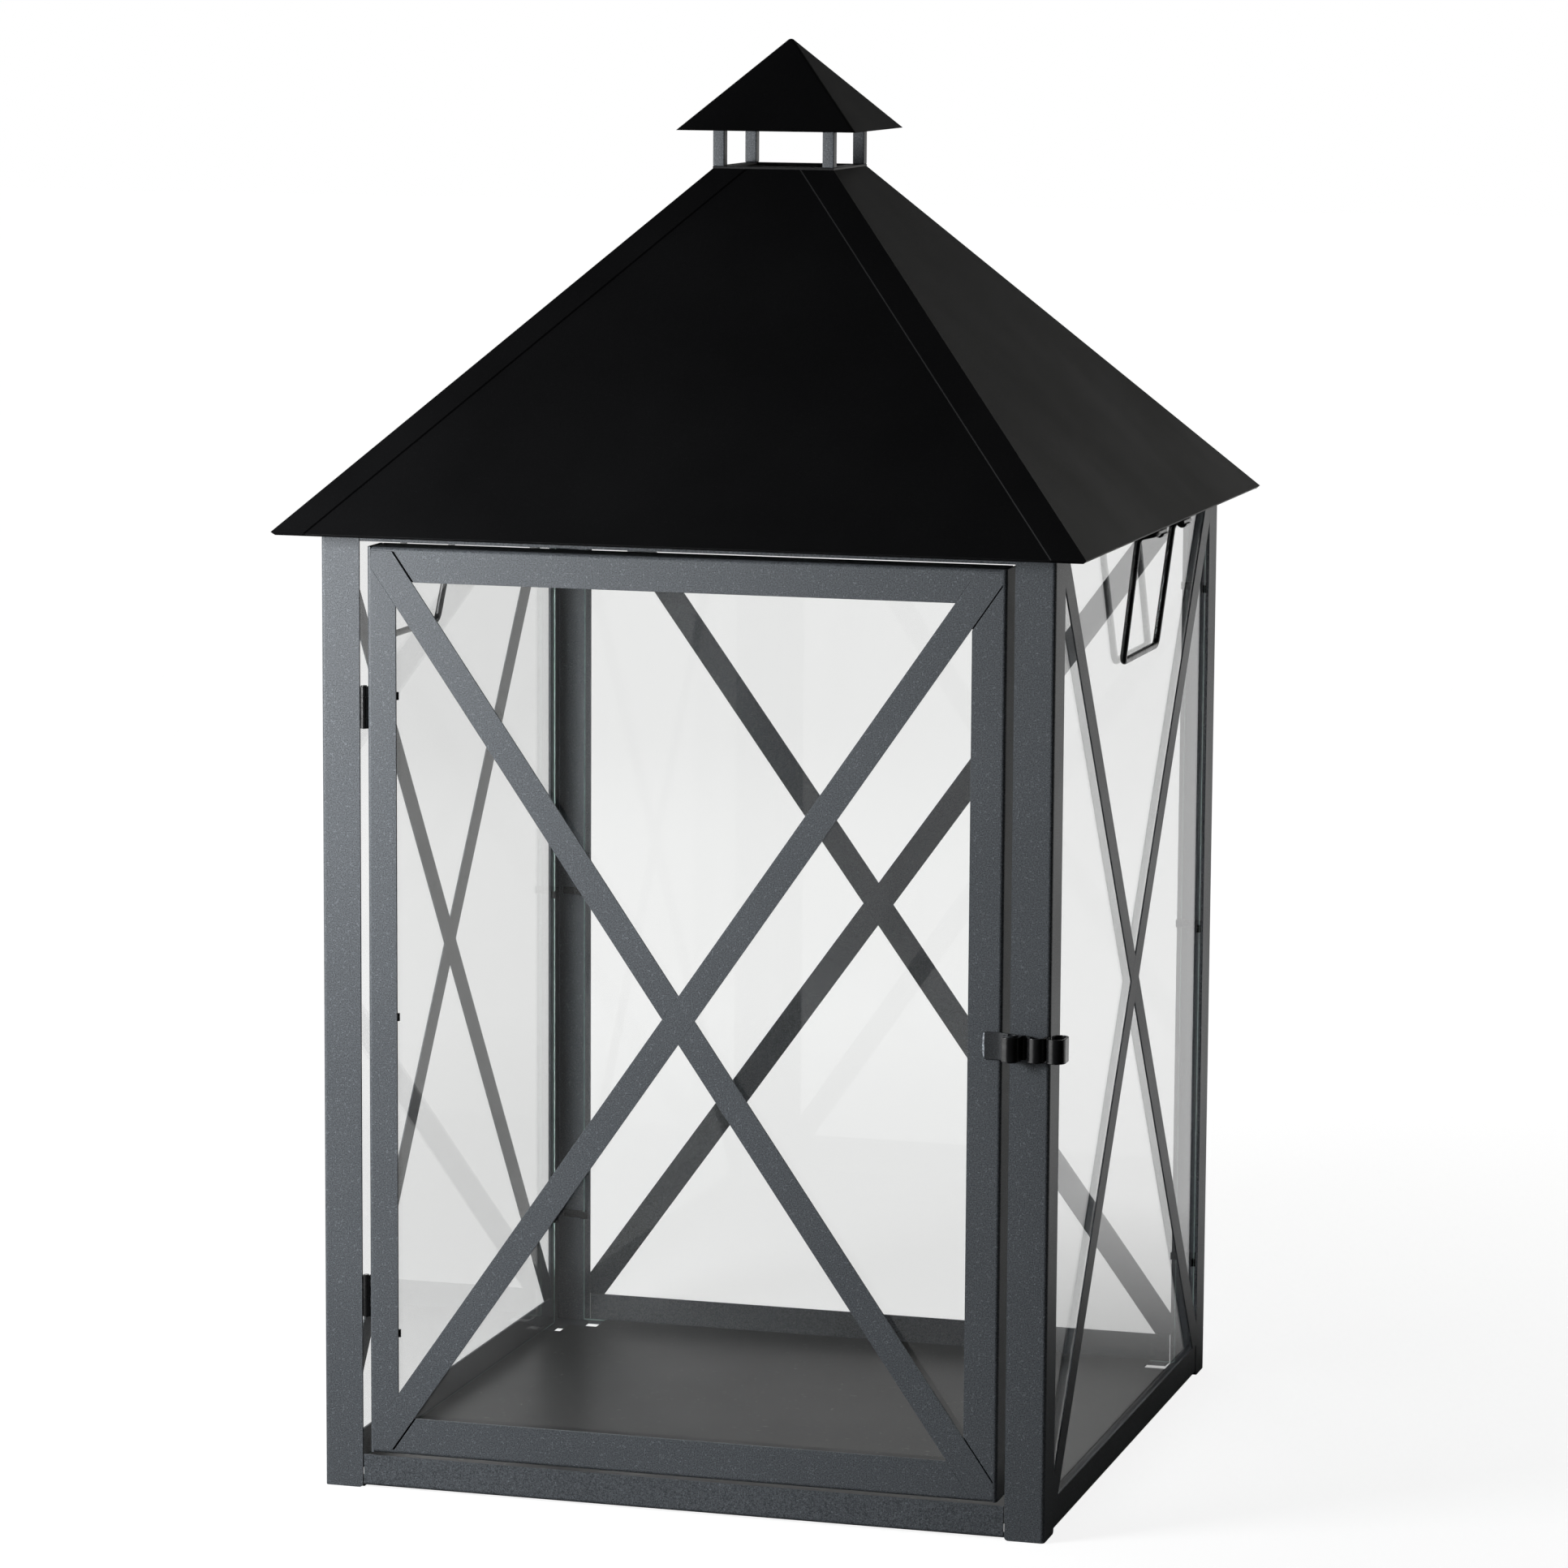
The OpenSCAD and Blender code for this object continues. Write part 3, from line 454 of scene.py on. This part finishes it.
def finishes():
    """All finishes by name, made once"""
    if not finishes.made:
        f = bpy.context.scene.lantern_finish
        finishes.made.update(
            coat=sand_coat("sand_coat_grey", f.coat_colour, f.grain_size, 0.45),
            roof=sand_coat("sand_coat_black", f.roof_colour, f.grain_size, 0.5,
                           speckle=0.2, spec=0.15, waves=3.0, specks=0.3),
            worn=worn_edge("worn_roof_edge", f.roof_colour),
            dark=sand_coat("sand_coat_dark", [c * 0.3 for c in f.coat_colour], f.grain_size, 0.45),
            weld=weld_bead("weld_bead", f.coat_colour),
            # Near-black paint for the door's seams: a painted shadow line
            seam=open_seam("open_seam"),
            tray=tray_coat("tray_coat", f.tray_colour),
            gloss=gloss_paint("black_paint", f.hardware_colour, 0.24),
            glass=window_glass("window_glass", f.glass_tint),
            glass_edge=glass_edge("glass_cut_edge", f.glass_edge),
        )
    return finishes.made


finishes.made = {}


# ---------------------------------------------------------------- shaping


def new_object(name, data):
    """An object in the scene that shows a mesh, curve, light or camera"""
    obj = bpy.data.objects.new(name, data)
    bpy.context.scene.collection.objects.link(obj)
    return obj


def to_mesh(bm, name):
    """The edited faces as a new mesh"""
    mesh = bpy.data.meshes.new(name)
    bm.to_mesh(mesh)
    bm.free()
    return mesh


def merged(node):
    """A CAD node's solid as joined faces"""
    bm = bmesh.new()
    bm.from_mesh(frame["nodes"][node].data)
    bmesh.ops.remove_doubles(bm, verts=bm.verts, dist=SOLID_JOIN)
    bmesh.ops.dissolve_limit(
        bm, angle_limit=math.radians(FLAT_ANGLE), verts=bm.verts, edges=bm.edges,
        use_dissolve_boundaries=False)
    return bm


def round_edges(bm, width, steps, least=30, chosen=None):
    """Rounds the sharp edges of a solid, or the chosen ones"""
    edges = chosen if chosen is not None else [
        e for e in bm.edges
        if len(e.link_faces) == 2 and e.calc_face_angle(0.0) > math.radians(least)]
    if edges:
        bmesh.ops.bevel(
            bm, geom=edges, offset=width, offset_type="OFFSET", segments=steps,
            profile=0.5, affect="EDGES", clamp_overlap=True)


def settle(obj, node, finish):
    """Smooth shading, finish, body and the node that the piece stands for"""
    mesh = obj.data
    if not mesh.materials:
        mesh.materials.append(finishes()[finish])
    mesh.polygons.foreach_set("use_smooth", [True] * len(mesh.polygons))
    mesh.set_sharp_from_angle(angle=math.radians(40))
    w = obj.modifiers.new("Flat faces stay flat", "WEIGHTED_NORMAL")
    w.keep_sharp = True
    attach(obj, BODY_OF[node])
    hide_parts(node)
    return obj


def dress(node, finish, width=None, name=None):
    """A piece with the CAD node's shape, its sharp edges rounded"""
    s = bpy.context.scene.lantern_sheet
    bm = merged(node)
    round_edges(bm, width or s.edge_round, s.edge_steps)
    name = name or node + "_sheet"
    return settle(new_object(name, to_mesh(bm, name)), node, finish)


def arc(cx, cy, r, a0, a1, step=ARC_STEP):
    """Points of an arc, angles in degrees"""
    count = max(2, round(abs(a1 - a0) / step))
    turns = [math.radians(a0 + (a1 - a0) * i / count) for i in range(count + 1)]
    return [(cx + r * math.cos(t), cy + r * math.sin(t)) for t in turns]


def tree(name, sockets):
    """An empty geometry tree with named inputs; returns it with its ends"""
    group = bpy.data.node_groups.new(name, "GeometryNodeTree")
    group.interface.new_socket("Geometry", in_out="INPUT", socket_type="NodeSocketGeometry")
    for label, kind in sockets:
        group.interface.new_socket(label, in_out="INPUT", socket_type="NodeSocket" + kind)
    group.interface.new_socket("Geometry", in_out="OUTPUT", socket_type="NodeSocketGeometry")
    return group, group.nodes.new("NodeGroupInput"), group.nodes.new("NodeGroupOutput")


def link_chain(group, *steps):
    """Joins (node, output) to (node, input) pairs"""
    for (a, out), (b, into) in steps:
        group.links.new(a.outputs[out], b.inputs[into])


def wire_tree():
    """Round wire along a path, with its corners bent to a radius"""
    if "Bent wire" in bpy.data.node_groups:
        return bpy.data.node_groups["Bent wire"]
    g, start, end = tree("Bent wire", [
        ("Wire Radius", "Float"), ("Bend Radius", "Float"), ("Sides", "Int"), ("Material", "Material")])
    fillet = g.nodes.new("GeometryNodeFilletCurve")
    fillet.mode = "POLY"
    fillet.inputs["Count"].default_value = 9
    circle = g.nodes.new("GeometryNodeCurvePrimitiveCircle")
    sweep = g.nodes.new("GeometryNodeCurveToMesh")
    sweep.inputs["Fill Caps"].default_value = True
    real = g.nodes.new("GeometryNodeRealizeInstances")
    paint = g.nodes.new("GeometryNodeSetMaterial")
    link_chain(
        g, ((start, "Geometry"), (fillet, 0)), ((start, "Bend Radius"), (fillet, "Radius")),
        ((start, "Sides"), (circle, "Resolution")), ((start, "Wire Radius"), (circle, "Radius")),
        ((fillet, 0), (sweep, "Curve")), ((circle, 0), (sweep, "Profile Curve")),
        ((sweep, 0), (real, 0)), ((real, 0), (paint, 0)), ((start, "Material"), (paint, "Material")),
        ((paint, 0), (end, 0)))
    return g


def strip_tree():
    """Flat strip along a path in its own plane, with rounded edges"""
    if "Rolled strip" in bpy.data.node_groups:
        return bpy.data.node_groups["Rolled strip"]
    g, start, end = tree("Rolled strip", [
        ("Thickness", "Float"), ("Width", "Float"), ("Edge Radius", "Float"), ("Material", "Material")])
    tilt = g.nodes.new("GeometryNodeSetCurveNormal")
    tilt.mode = "Z_UP"
    outline = g.nodes.new("GeometryNodeCurvePrimitiveQuadrilateral")
    soften = g.nodes.new("GeometryNodeFilletCurve")
    soften.mode = "POLY"
    soften.inputs["Count"].default_value = 3
    sweep = g.nodes.new("GeometryNodeCurveToMesh")
    sweep.inputs["Fill Caps"].default_value = True
    real = g.nodes.new("GeometryNodeRealizeInstances")
    paint = g.nodes.new("GeometryNodeSetMaterial")
    link_chain(
        g, ((start, "Geometry"), (tilt, 0)), ((start, "Thickness"), (outline, "Width")),
        ((start, "Width"), (outline, "Height")), ((outline, 0), (soften, 0)),
        ((start, "Edge Radius"), (soften, "Radius")), ((tilt, 0), (sweep, "Curve")),
        ((soften, 0), (sweep, "Profile Curve")), ((sweep, 0), (real, 0)), ((real, 0), (paint, 0)),
        ((start, "Material"), (paint, "Material")), ((paint, 0), (end, 0)))
    return g


def swept(points, group, values, place):
    """Runs a geometry tree on a path and returns the plain mesh, put in place"""
    curve = bpy.data.curves.new("path", "CURVE")
    curve.dimensions = "3D"
    spline = curve.splines.new("POLY")
    spline.points.add(len(points) - 1)
    for point, at in zip(spline.points, points):
        flat = (0.0,) * (3 - len(at))
        point.co = (*at, *flat, 1.0)
    obj = new_object("path", curve)
    mod = obj.modifiers.new("Sweep", "NODES")
    mod.node_group = group
    for item in group.interface.items_tree:
        if item.item_type == "SOCKET" and item.in_out == "INPUT" and item.name in values:
            mod[item.identifier] = values[item.name]
    mesh = bpy.data.meshes.new_from_object(obj.evaluated_get(bpy.context.evaluated_depsgraph_get()))
    bpy.data.objects.remove(obj)
    bpy.data.curves.remove(curve)
    mesh.transform(place)
    bm = bmesh.new()
    bm.from_mesh(mesh)
    bmesh.ops.remove_doubles(bm, verts=bm.verts, dist=SWEEP_JOIN)
    bmesh.ops.recalc_face_normals(bm, faces=bm.faces)
    bm.to_mesh(mesh)
    bm.free()
    return mesh


def joined(name, meshes):
    """Several meshes as one object"""
    bm = bmesh.new()
    mesh = bpy.data.meshes.new(name)
    for m in meshes:
        paint = m.materials[0]
        if paint.name not in mesh.materials:
            mesh.materials.append(paint)
        before = len(bm.faces)
        bm.from_mesh(m)
        bm.faces.ensure_lookup_table()
        for face in bm.faces[before:]:
            face.material_index = mesh.materials.find(paint.name)
    bm.to_mesh(mesh)
    bm.free()
    for m in meshes:
        bpy.data.meshes.remove(m)
    return new_object(name, mesh)


# ---------------------------------------------------------------- pieces


class LANTERN_OT_frame(bpy.types.Operator):
    """Corner posts, rails and the floor tray"""

    bl_idname = "lantern.frame"
    bl_label = "Frame and tray"

    def execute(self, context):
        for node in frame["nodes"]:
            if node.startswith(("post_", "bottom_rail", "top_rail")):
                dress(node, "coat")
        dress("floor_tray", "tray")
        return {"FINISHED"}


class LANTERN_OT_crosses(bpy.types.Operator):
    """Crossed strips on the fixed sides"""

    bl_idname = "lantern.crosses"
    bl_label = "Crosses"

    def execute(self, context):
        for node in frame["nodes"]:
            if node.startswith("strip_"):
                dress(node, "coat", STRIP_EDGE)
        return {"FINISHED"}


class LANTERN_OT_glass(bpy.types.Operator):
    """Panes with green ground edges, and the clips that hold them"""

    bl_idname = "lantern.glass"
    bl_label = "Glass and clips"

    def execute(self, context):
        for node in ("glass_left", "glass_right", "glass_back", "door_glass"):
            low, high = (Vector(c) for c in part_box(node))
            thin = min(range(3), key=lambda i: (high - low)[i])
            pane = dress(node, "glass", PANE_EDGE, node + "_pane")
            pane.data.materials.append(finishes()["glass_edge"])
            for face in pane.data.polygons:
                face.material_index = 0 if abs(face.normal[thin]) > 0.99 else 1
        for node in ("glass_clips_left", "glass_clips_right", "glass_clips_back"):
            dress(node, "gloss", CLIP_EDGE)
        dress("door_glass_clips", "coat", CLIP_EDGE)
        return {"FINISHED"}


class LANTERN_OT_roof(bpy.types.Operator):
    """Roof panels with rounded hips, collar, chimney posts and cap"""

    bl_idname = "lantern.roof"
    bl_label = "Roof and chimney"

    def execute(self, context):
        s = context.scene.lantern_sheet
        for node in ("roof_left", "roof_right"):
            bm = merged(node)
            round_edges(bm, s.hip_round, 5, chosen=[e for e in bm.edges if self.is_hip(e)])
            self.finish(bm, node)
        for node in ("roof_front", "roof_back", "roof_collar"):
            self.finish(merged(node), node)
        bm = merged("chimney_cap")
        corners = [e for e in bm.edges if e.calc_length() > CAP_CORNER_LENGTH and e.is_convex
                   and abs(e.verts[0].co.z - e.verts[1].co.z) > CAP_CORNER_FALL]
        round_edges(bm, CAP_EDGE, 3, chosen=corners)
        self.finish(bm, "chimney_cap")
        for node in frame["nodes"]:
            if node.startswith("chimney_post"):
                dress(node, "coat", POST_EDGE)
        return {"FINISHED"}

    def is_hip(self, edge):
        """Whether an edge is the outer fold of a side panel: long, convex and on a diagonal"""
        return (edge.calc_length() > HIP_LENGTH and len(edge.link_faces) == 2
                and all(abs(abs(v.co.x) - abs(v.co.y)) < 1e-5 for v in edge.verts)
                and edge.calc_face_angle(0.0) > math.radians(40)
                and edge.is_convex)

    def finish(self, bm, node):
        """Softens the sheet's cut edges and puts the piece in the scene"""
        s = bpy.context.scene.lantern_sheet
        round_edges(bm, s.edge_round * 0.8, s.edge_steps, least=35)
        name = node + "_sheet"
        sheet = settle(new_object(name, to_mesh(bm, name)), node, "roof")
        if node in ("roof_left", "roof_right"):
            sheet.data.materials.append(finishes()["worn"])
            for face in sheet.data.polygons:
                face.material_index = int(self.is_lap_edge(face))

    def is_lap_edge(self, face):
        """Whether a face is a lap's cut edge: long, thin and square to both the hip and the panel"""
        n, c = face.normal, face.center
        if face.area > LAP_EDGE_AREA or abs(c.y) < LAP_EDGE_OUT:
            return False
        hip = Vector((math.copysign(1, c.x), math.copysign(1, c.y), -ROOF_RISE / ROOF_RUN)).normalized()
        panel = Vector((0, math.copysign(1, c.y), 1)).normalized()
        return abs(n.dot(hip)) < 0.05 and abs(n.dot(panel)) < 0.1


class LANTERN_OT_door(bpy.types.Operator):
    """Door frame and its cross"""

    bl_idname = "lantern.door"
    bl_label = "Door"

    def execute(self, context):
        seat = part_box("door_strip_rising")[1][1]
        for node in ("door_stile_hinge", "door_stile_latch", "door_rail_top", "door_rail_bottom"):
            member = dress(node, "coat").data
            # Seat faces in the seams take near-black paint: a painted shadow line
            member.materials.append(finishes()["seam"])
            for face in member.polygons:
                if face.normal.y < -0.99 and abs(face.center.y - seat) < 0.05 * MM:
                    face.material_index = 1
        for node in ("door_strip_rising", "door_strip_falling"):
            dress(node, "coat", STRIP_EDGE)
        return {"FINISHED"}


class LANTERN_OT_hinges(bpy.types.Operator):
    """Hinge leaves with their knuckles, and the pins"""

    bl_idname = "lantern.hinges"
    bl_label = "Hinges"

    def execute(self, context):
        for node in frame["nodes"]:
            if node.startswith("hinge_"):
                dress(node, "gloss", LEAF_EDGE)
        return {"FINISHED"}


class LANTERN_OT_latch(bpy.types.Operator):
    """Tongue with a rolled eye, and the curled hook strip"""

    bl_idname = "lantern.latch"
    bl_label = "Latch"

    def execute(self, context):
        hub = Vector(JOINTS["latch_pivot"]["pos_m"]) / MM
        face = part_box("door_stile_latch")[0][1] / MM
        across = face - hub.y
        plan = Matrix(((MM, 0, 0, 0), (0, -MM, 0, face * MM), (0, 0, MM, hub.z * MM), (0, 0, 0, 1)))
        path = arc(hub.x, across, HOOK_ROLL, HOOK_ROLL_START, HOOK_ROLL_START + HOOK_ROLL_TURN)
        for x, out, radius, first, last, step in HOOK_CURLS:
            path += arc(hub.x + x, out, radius, first, last, step)
        hook = self.strip(path, HOOK_WIDTH, "gloss", plan)
        settle(new_object("latch_hook_strip", hook), "latch_hook", "gloss")
        roll_end = TONGUE_ROLL_START + TONGUE_ROLL_TURN
        roll = arc(hub.x, across, TONGUE_ROLL, TONGUE_ROLL_START, roll_end, ROLL_STEP)
        path = [*TONGUE_FLAT, *roll]
        tongue = self.strip(path, TONGUE_WIDTH, "dark", plan)
        both = joined("latch_tongue_strip", [tongue, self.weld(face, hub.z)])
        settle(both, "latch_tongue", "coat")
        return {"FINISHED"}

    def strip(self, path, width, finish, plan):
        """A strip of the latch along a path that is drawn from above"""
        h = bpy.context.scene.lantern_hardware
        return swept(path, strip_tree(), {
            "Thickness": LATCH_GAUGE, "Width": width, "Edge Radius": h.strip_round / MM,
            "Material": finishes()[finish]}, plan)

    def weld(self, face, z):
        """Lumpy weld along the tongue's end on the stile"""
        bm = bmesh.new()
        bmesh.ops.create_icosphere(bm, subdivisions=4, radius=1.0)
        wide, high, long = WELD_HALF
        for v in bm.verts:
            v.co *= 1 + 0.22 * noise.noise(v.co * 2.3 + Vector((3, 1, 7)))
            v.co = Vector((WELD_X + v.co.x * wide, face - WELD_PROUD - v.co.y * high, z + v.co.z * long)) * MM
        mesh = to_mesh(bm, "weld")
        mesh.materials.append(finishes()["weld"])
        return mesh


class LANTERN_OT_handles(bpy.types.Operator):
    """Wire handles and the eyes rolled from straps under the eave"""

    bl_idname = "lantern.handles"
    bl_label = "Handles"

    def execute(self, context):
        h = context.scene.lantern_hardware
        corners = ((0.0, WIRE_END, 0.0), (0.0, HALF_TOP, 0.0), (-STEP, HALF_TOP, -STEP_DROP),
                   (-STEP, HALF_BAR, -HANDLE_LENGTH))
        half = [(x * MM, y * MM, z * MM) for x, y, z in corners]
        path = half + [(x, -y, z) for x, y, z in reversed(half)]
        for side, name in ((1, "right"), (-1, "left")):
            pivot = Vector(JOINTS[name + "_handle_swing"]["pos_m"])
            turn = self.rest_angle("handle_" + name, side, pivot, h.wire_radius)
            place = (Matrix.Translation(pivot) @ Matrix.Diagonal((side, 1, 1, 1))
                     @ Matrix.Rotation(-turn, 4, "Y"))
            wire = swept(path, wire_tree(), {
                "Wire Radius": h.wire_radius, "Bend Radius": h.bend_radius, "Sides": WIRE_SIDES,
                "Material": finishes()["gloss"]}, place)
            settle(new_object("handle_" + name + "_wire", wire), "handle_" + name, "gloss")
            self.eyes(name, side, pivot, h.strip_round)
        return {"FINISHED"}

    def rest_angle(self, node, side, pivot, radius):
        """How far the handle hangs outwards, from where its bar lies"""
        low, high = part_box(node)
        reach = side * pivot.x
        inner, outer = sorted((side * low[0], side * high[0]))
        swung_out = outer > reach + 2 * radius + 0.4 * MM
        bar = outer - radius if swung_out else inner + radius
        dist, own = math.hypot(STEP, HANDLE_LENGTH) * MM, math.atan2(STEP, HANDLE_LENGTH)
        return math.asin((bar - reach) / dist) + own

    def eyes(self, name, side, pivot, rounding):
        """Two straps that lie under the hem and are rolled round the wire"""
        slope = Matrix.Rotation(math.atan2(ROOF_RISE, ROOF_RUN), 4, "Y")
        upright = Matrix.Rotation(math.pi / 2, 4, "X")
        flat = [(-STRAP_START, EYE_ROLL), (-STRAP_END, EYE_ROLL)]
        roll = arc(0, 0, EYE_ROLL, 90, 90 + EYE_TURN, ROLL_STEP)
        path = [(-x, y) for x, y in flat + roll]
        meshes = []
        for end in (-1, 1):
            place = (Matrix.Translation((pivot.x, end * EYE_OFFSET * MM, pivot.z))
                     @ Matrix.Diagonal((side, 1, 1, 1)) @ slope @ upright
                     @ Matrix.Diagonal((-MM, MM, MM, 1)))
            meshes.append(swept(path, strip_tree(), {
                "Thickness": EYE_GAUGE, "Width": EYE_WIDTH, "Edge Radius": rounding / MM,
                "Material": finishes()["gloss"]}, place))
        settle(joined("handle_eyes_" + name + "_rolled", meshes), "handle_eyes_" + name, "gloss")


# ---------------------------------------------------------------- stage


class LANTERN_OT_stage(bpy.types.Operator):
    """Floor, lamps, room and camera"""

    bl_idname = "lantern.stage"
    bl_label = "Studio"

    def execute(self, context):
        scene, s = context.scene, context.scene.lantern_stage
        scene.view_settings.view_transform = "Standard"
        self.floor()
        self.room(scene, s.room_level)
        for name, at, to, size, power, colour in (
                ("front_lamp", (-0.57, -0.72, 0.53), (-0.05, -0.19, 0.32), 0.35, s.key_power, COOL),
                ("right_lamp", (1.5, 1.9, 1.0), (0.1, 0, 0.35), 1.2, s.fill_power, WARM),
                ("back_lamp", (-1.4, 1.7, 1.0), (0, 0, 0.35), 1.2, s.back_power, WHITE)):
            self.lamp(name, at, to, size, power, colour)
        self.camera(scene, s.lens)
        return {"FINISHED"}

    def floor(self):
        """White paper; what the camera sees of it glows to white away from the object's shadow"""
        bm = bmesh.new()
        bmesh.ops.create_grid(bm, x_segments=1, y_segments=1, size=FLOOR_HALF)
        bmesh.ops.translate(bm, vec=(0.0, 0.0, -FLOOR_DROP), verts=bm.verts)
        mesh = to_mesh(bm, "studio_floor")
        floor = new_object("studio_floor", mesh)
        n = Nodes("white_floor")
        seen, mirrored = n.sight()
        away = n.add("ShaderNodeVectorMath", {0: n.place}, operation="LENGTH").outputs["Value"]
        spot = n.add("ShaderNodeSeparateXYZ", {0: n.place}).outputs
        # In reflections the floor glows behind the object and far to the front left: painted reflections of a
        # bright back wall and a softbox
        behind = n.span(spot["Y"], 0.2, 0.6, 0.0, 0.9)
        softbox = n.times(n.softbox(spot), n.span(away, 0.8, 1.4, 0.0, 1.0))
        backdrop = n.times(seen, n.span(away, 0.35, 1.2, 0.88, 1.0))
        glow = n.plus(backdrop, n.times(mirrored, n.plus(behind, softbox)))
        glow = n.add("ShaderNodeEmission", {"Color": (1, 1, 1, 1), "Strength": glow})
        # The paper is darker in reflections than elsewhere: painted shade in what it mirrors
        tone = n.blend(mirrored, n.blend(seen, 0.35, 0.25), 0.05)
        paper = n.add("ShaderNodeBsdfDiffuse", {
            "Color": n.add("ShaderNodeCombineXYZ", {0: tone, 1: tone, 2: tone}).outputs[0]})
        both = n.add("ShaderNodeAddShader", {0: paper.outputs[0], 1: glow.outputs[0]})
        mesh.materials.append(n.surface(both.outputs[0]))

    def room(self, scene, level):
        """Dim room, with a softbox at the left in its reflections; the camera sees plain white"""
        n = Nodes("dim_room", world=True)
        scene.world = n.owner
        seen, mirrored = n.sight()
        way = n.add("ShaderNodeSeparateXYZ", {0: n.place}).outputs
        light = n.times(n.span(way["X"], -0.5, 0.5, level * 1.3, level * 0.7),
                        n.span(way["Z"], 0.3, 0.7, 1.0, 0.15))
        behind = n.times(n.span(way["Y"], 0.0, 0.4, 0.03, 0.9), n.span(way["Z"], 0.1, 0.22, 1.0, 0.08))
        softbox = n.times(n.softbox(way), n.span(way["Z"], 0.03, 0.25, 1.0, 0.0))
        lit = n.blend(mirrored, light, n.plus(behind, softbox))
        strength = n.blend(seen, lit, 1.0)
        back = n.add("ShaderNodeBackground", {"Color": (1, 1, 1, 1), "Strength": strength})
        n.surface(back.outputs[0])

    def lamp(self, name, at, to, size, power, colour):
        """Square soft lamp at one point, turned to another"""
        lamp = bpy.data.lights.new(name, "AREA")
        lamp.shape, lamp.size, lamp.energy, lamp.color = "SQUARE", size, power, colour
        obj = new_object(name, lamp)
        obj.visible_camera = False
        obj.location = at
        obj.rotation_euler = (Vector(to) - Vector(at)).to_track_quat("-Z", "Y").to_euler()

    def camera(self, scene, lens):
        """Camera at the photograph's viewing angle"""
        az, el, roll = (math.radians(a) for a in (VIEW_AZIMUTH, VIEW_HEIGHT, VIEW_ROLL))
        ahead = Vector((-math.sin(az) * math.cos(el), math.cos(az) * math.cos(el), -math.sin(el)))
        right = Vector((math.cos(az), math.sin(az), 0))
        up = right.cross(ahead)
        x = right * math.cos(roll) + up * math.sin(roll)
        y = up * math.cos(roll) - right * math.sin(roll)
        data = bpy.data.cameras.new("camera")
        data.lens, data.sensor_width, data.clip_end = lens, SENSOR, 50
        cam = new_object("camera", data)
        at = Vector(VIEW_AIM) * MM - ahead * VIEW_DISTANCE * MM
        turn = Matrix((x, y, -ahead)).transposed().to_4x4()
        cam.matrix_world = Matrix.Translation(at) @ turn
        scene.camera = cam


# ---------------------------------------------------------------- panel


PIECES = (LANTERN_OT_frame, LANTERN_OT_crosses, LANTERN_OT_glass, LANTERN_OT_roof,
          LANTERN_OT_door, LANTERN_OT_hinges, LANTERN_OT_latch, LANTERN_OT_handles,
          LANTERN_OT_stage)


class LANTERN_PT_panel(bpy.types.Panel):
    """Lists the lantern's pieces and their settings"""

    bl_idname = "LANTERN_PT_panel"
    bl_label = "Candle lantern"
    bl_space_type = "VIEW_3D"
    bl_region_type = "UI"
    bl_category = "Lantern"

    def draw(self, context):
        for kind in PIECES:
            self.layout.operator(kind.bl_idname)
        for group in (context.scene.lantern_finish, context.scene.lantern_sheet,
                      context.scene.lantern_hardware, context.scene.lantern_stage):
            box = self.layout.box()
            for key in group.__annotations__:
                box.prop(group, key)


GROUPS = (("lantern_finish", FinishSettings), ("lantern_sheet", SheetSettings),
          ("lantern_hardware", HardwareSettings), ("lantern_stage", StageSettings))


def register():
    """Makes the settings, the operators and the panel known to Blender"""
    for name, group in GROUPS:
        bpy.utils.register_class(group)
        setattr(bpy.types.Scene, name, PointerProperty(type=group))
    for kind in (*PIECES, LANTERN_PT_panel):
        bpy.utils.register_class(kind)


def unregister():
    """Takes them away again"""
    for kind in reversed((*PIECES, LANTERN_PT_panel)):
        bpy.utils.unregister_class(kind)
    for name, group in GROUPS:
        delattr(bpy.types.Scene, name)
        bpy.utils.unregister_class(group)


def main():
    """Makes every piece and the studio"""
    register()
    bpy.ops.lantern.frame()
    bpy.ops.lantern.crosses()
    bpy.ops.lantern.glass()
    bpy.ops.lantern.roof()
    bpy.ops.lantern.door()
    bpy.ops.lantern.hinges()
    bpy.ops.lantern.latch()
    bpy.ops.lantern.handles()
    bpy.ops.lantern.stage()


if __name__ == "__main__":
    main()
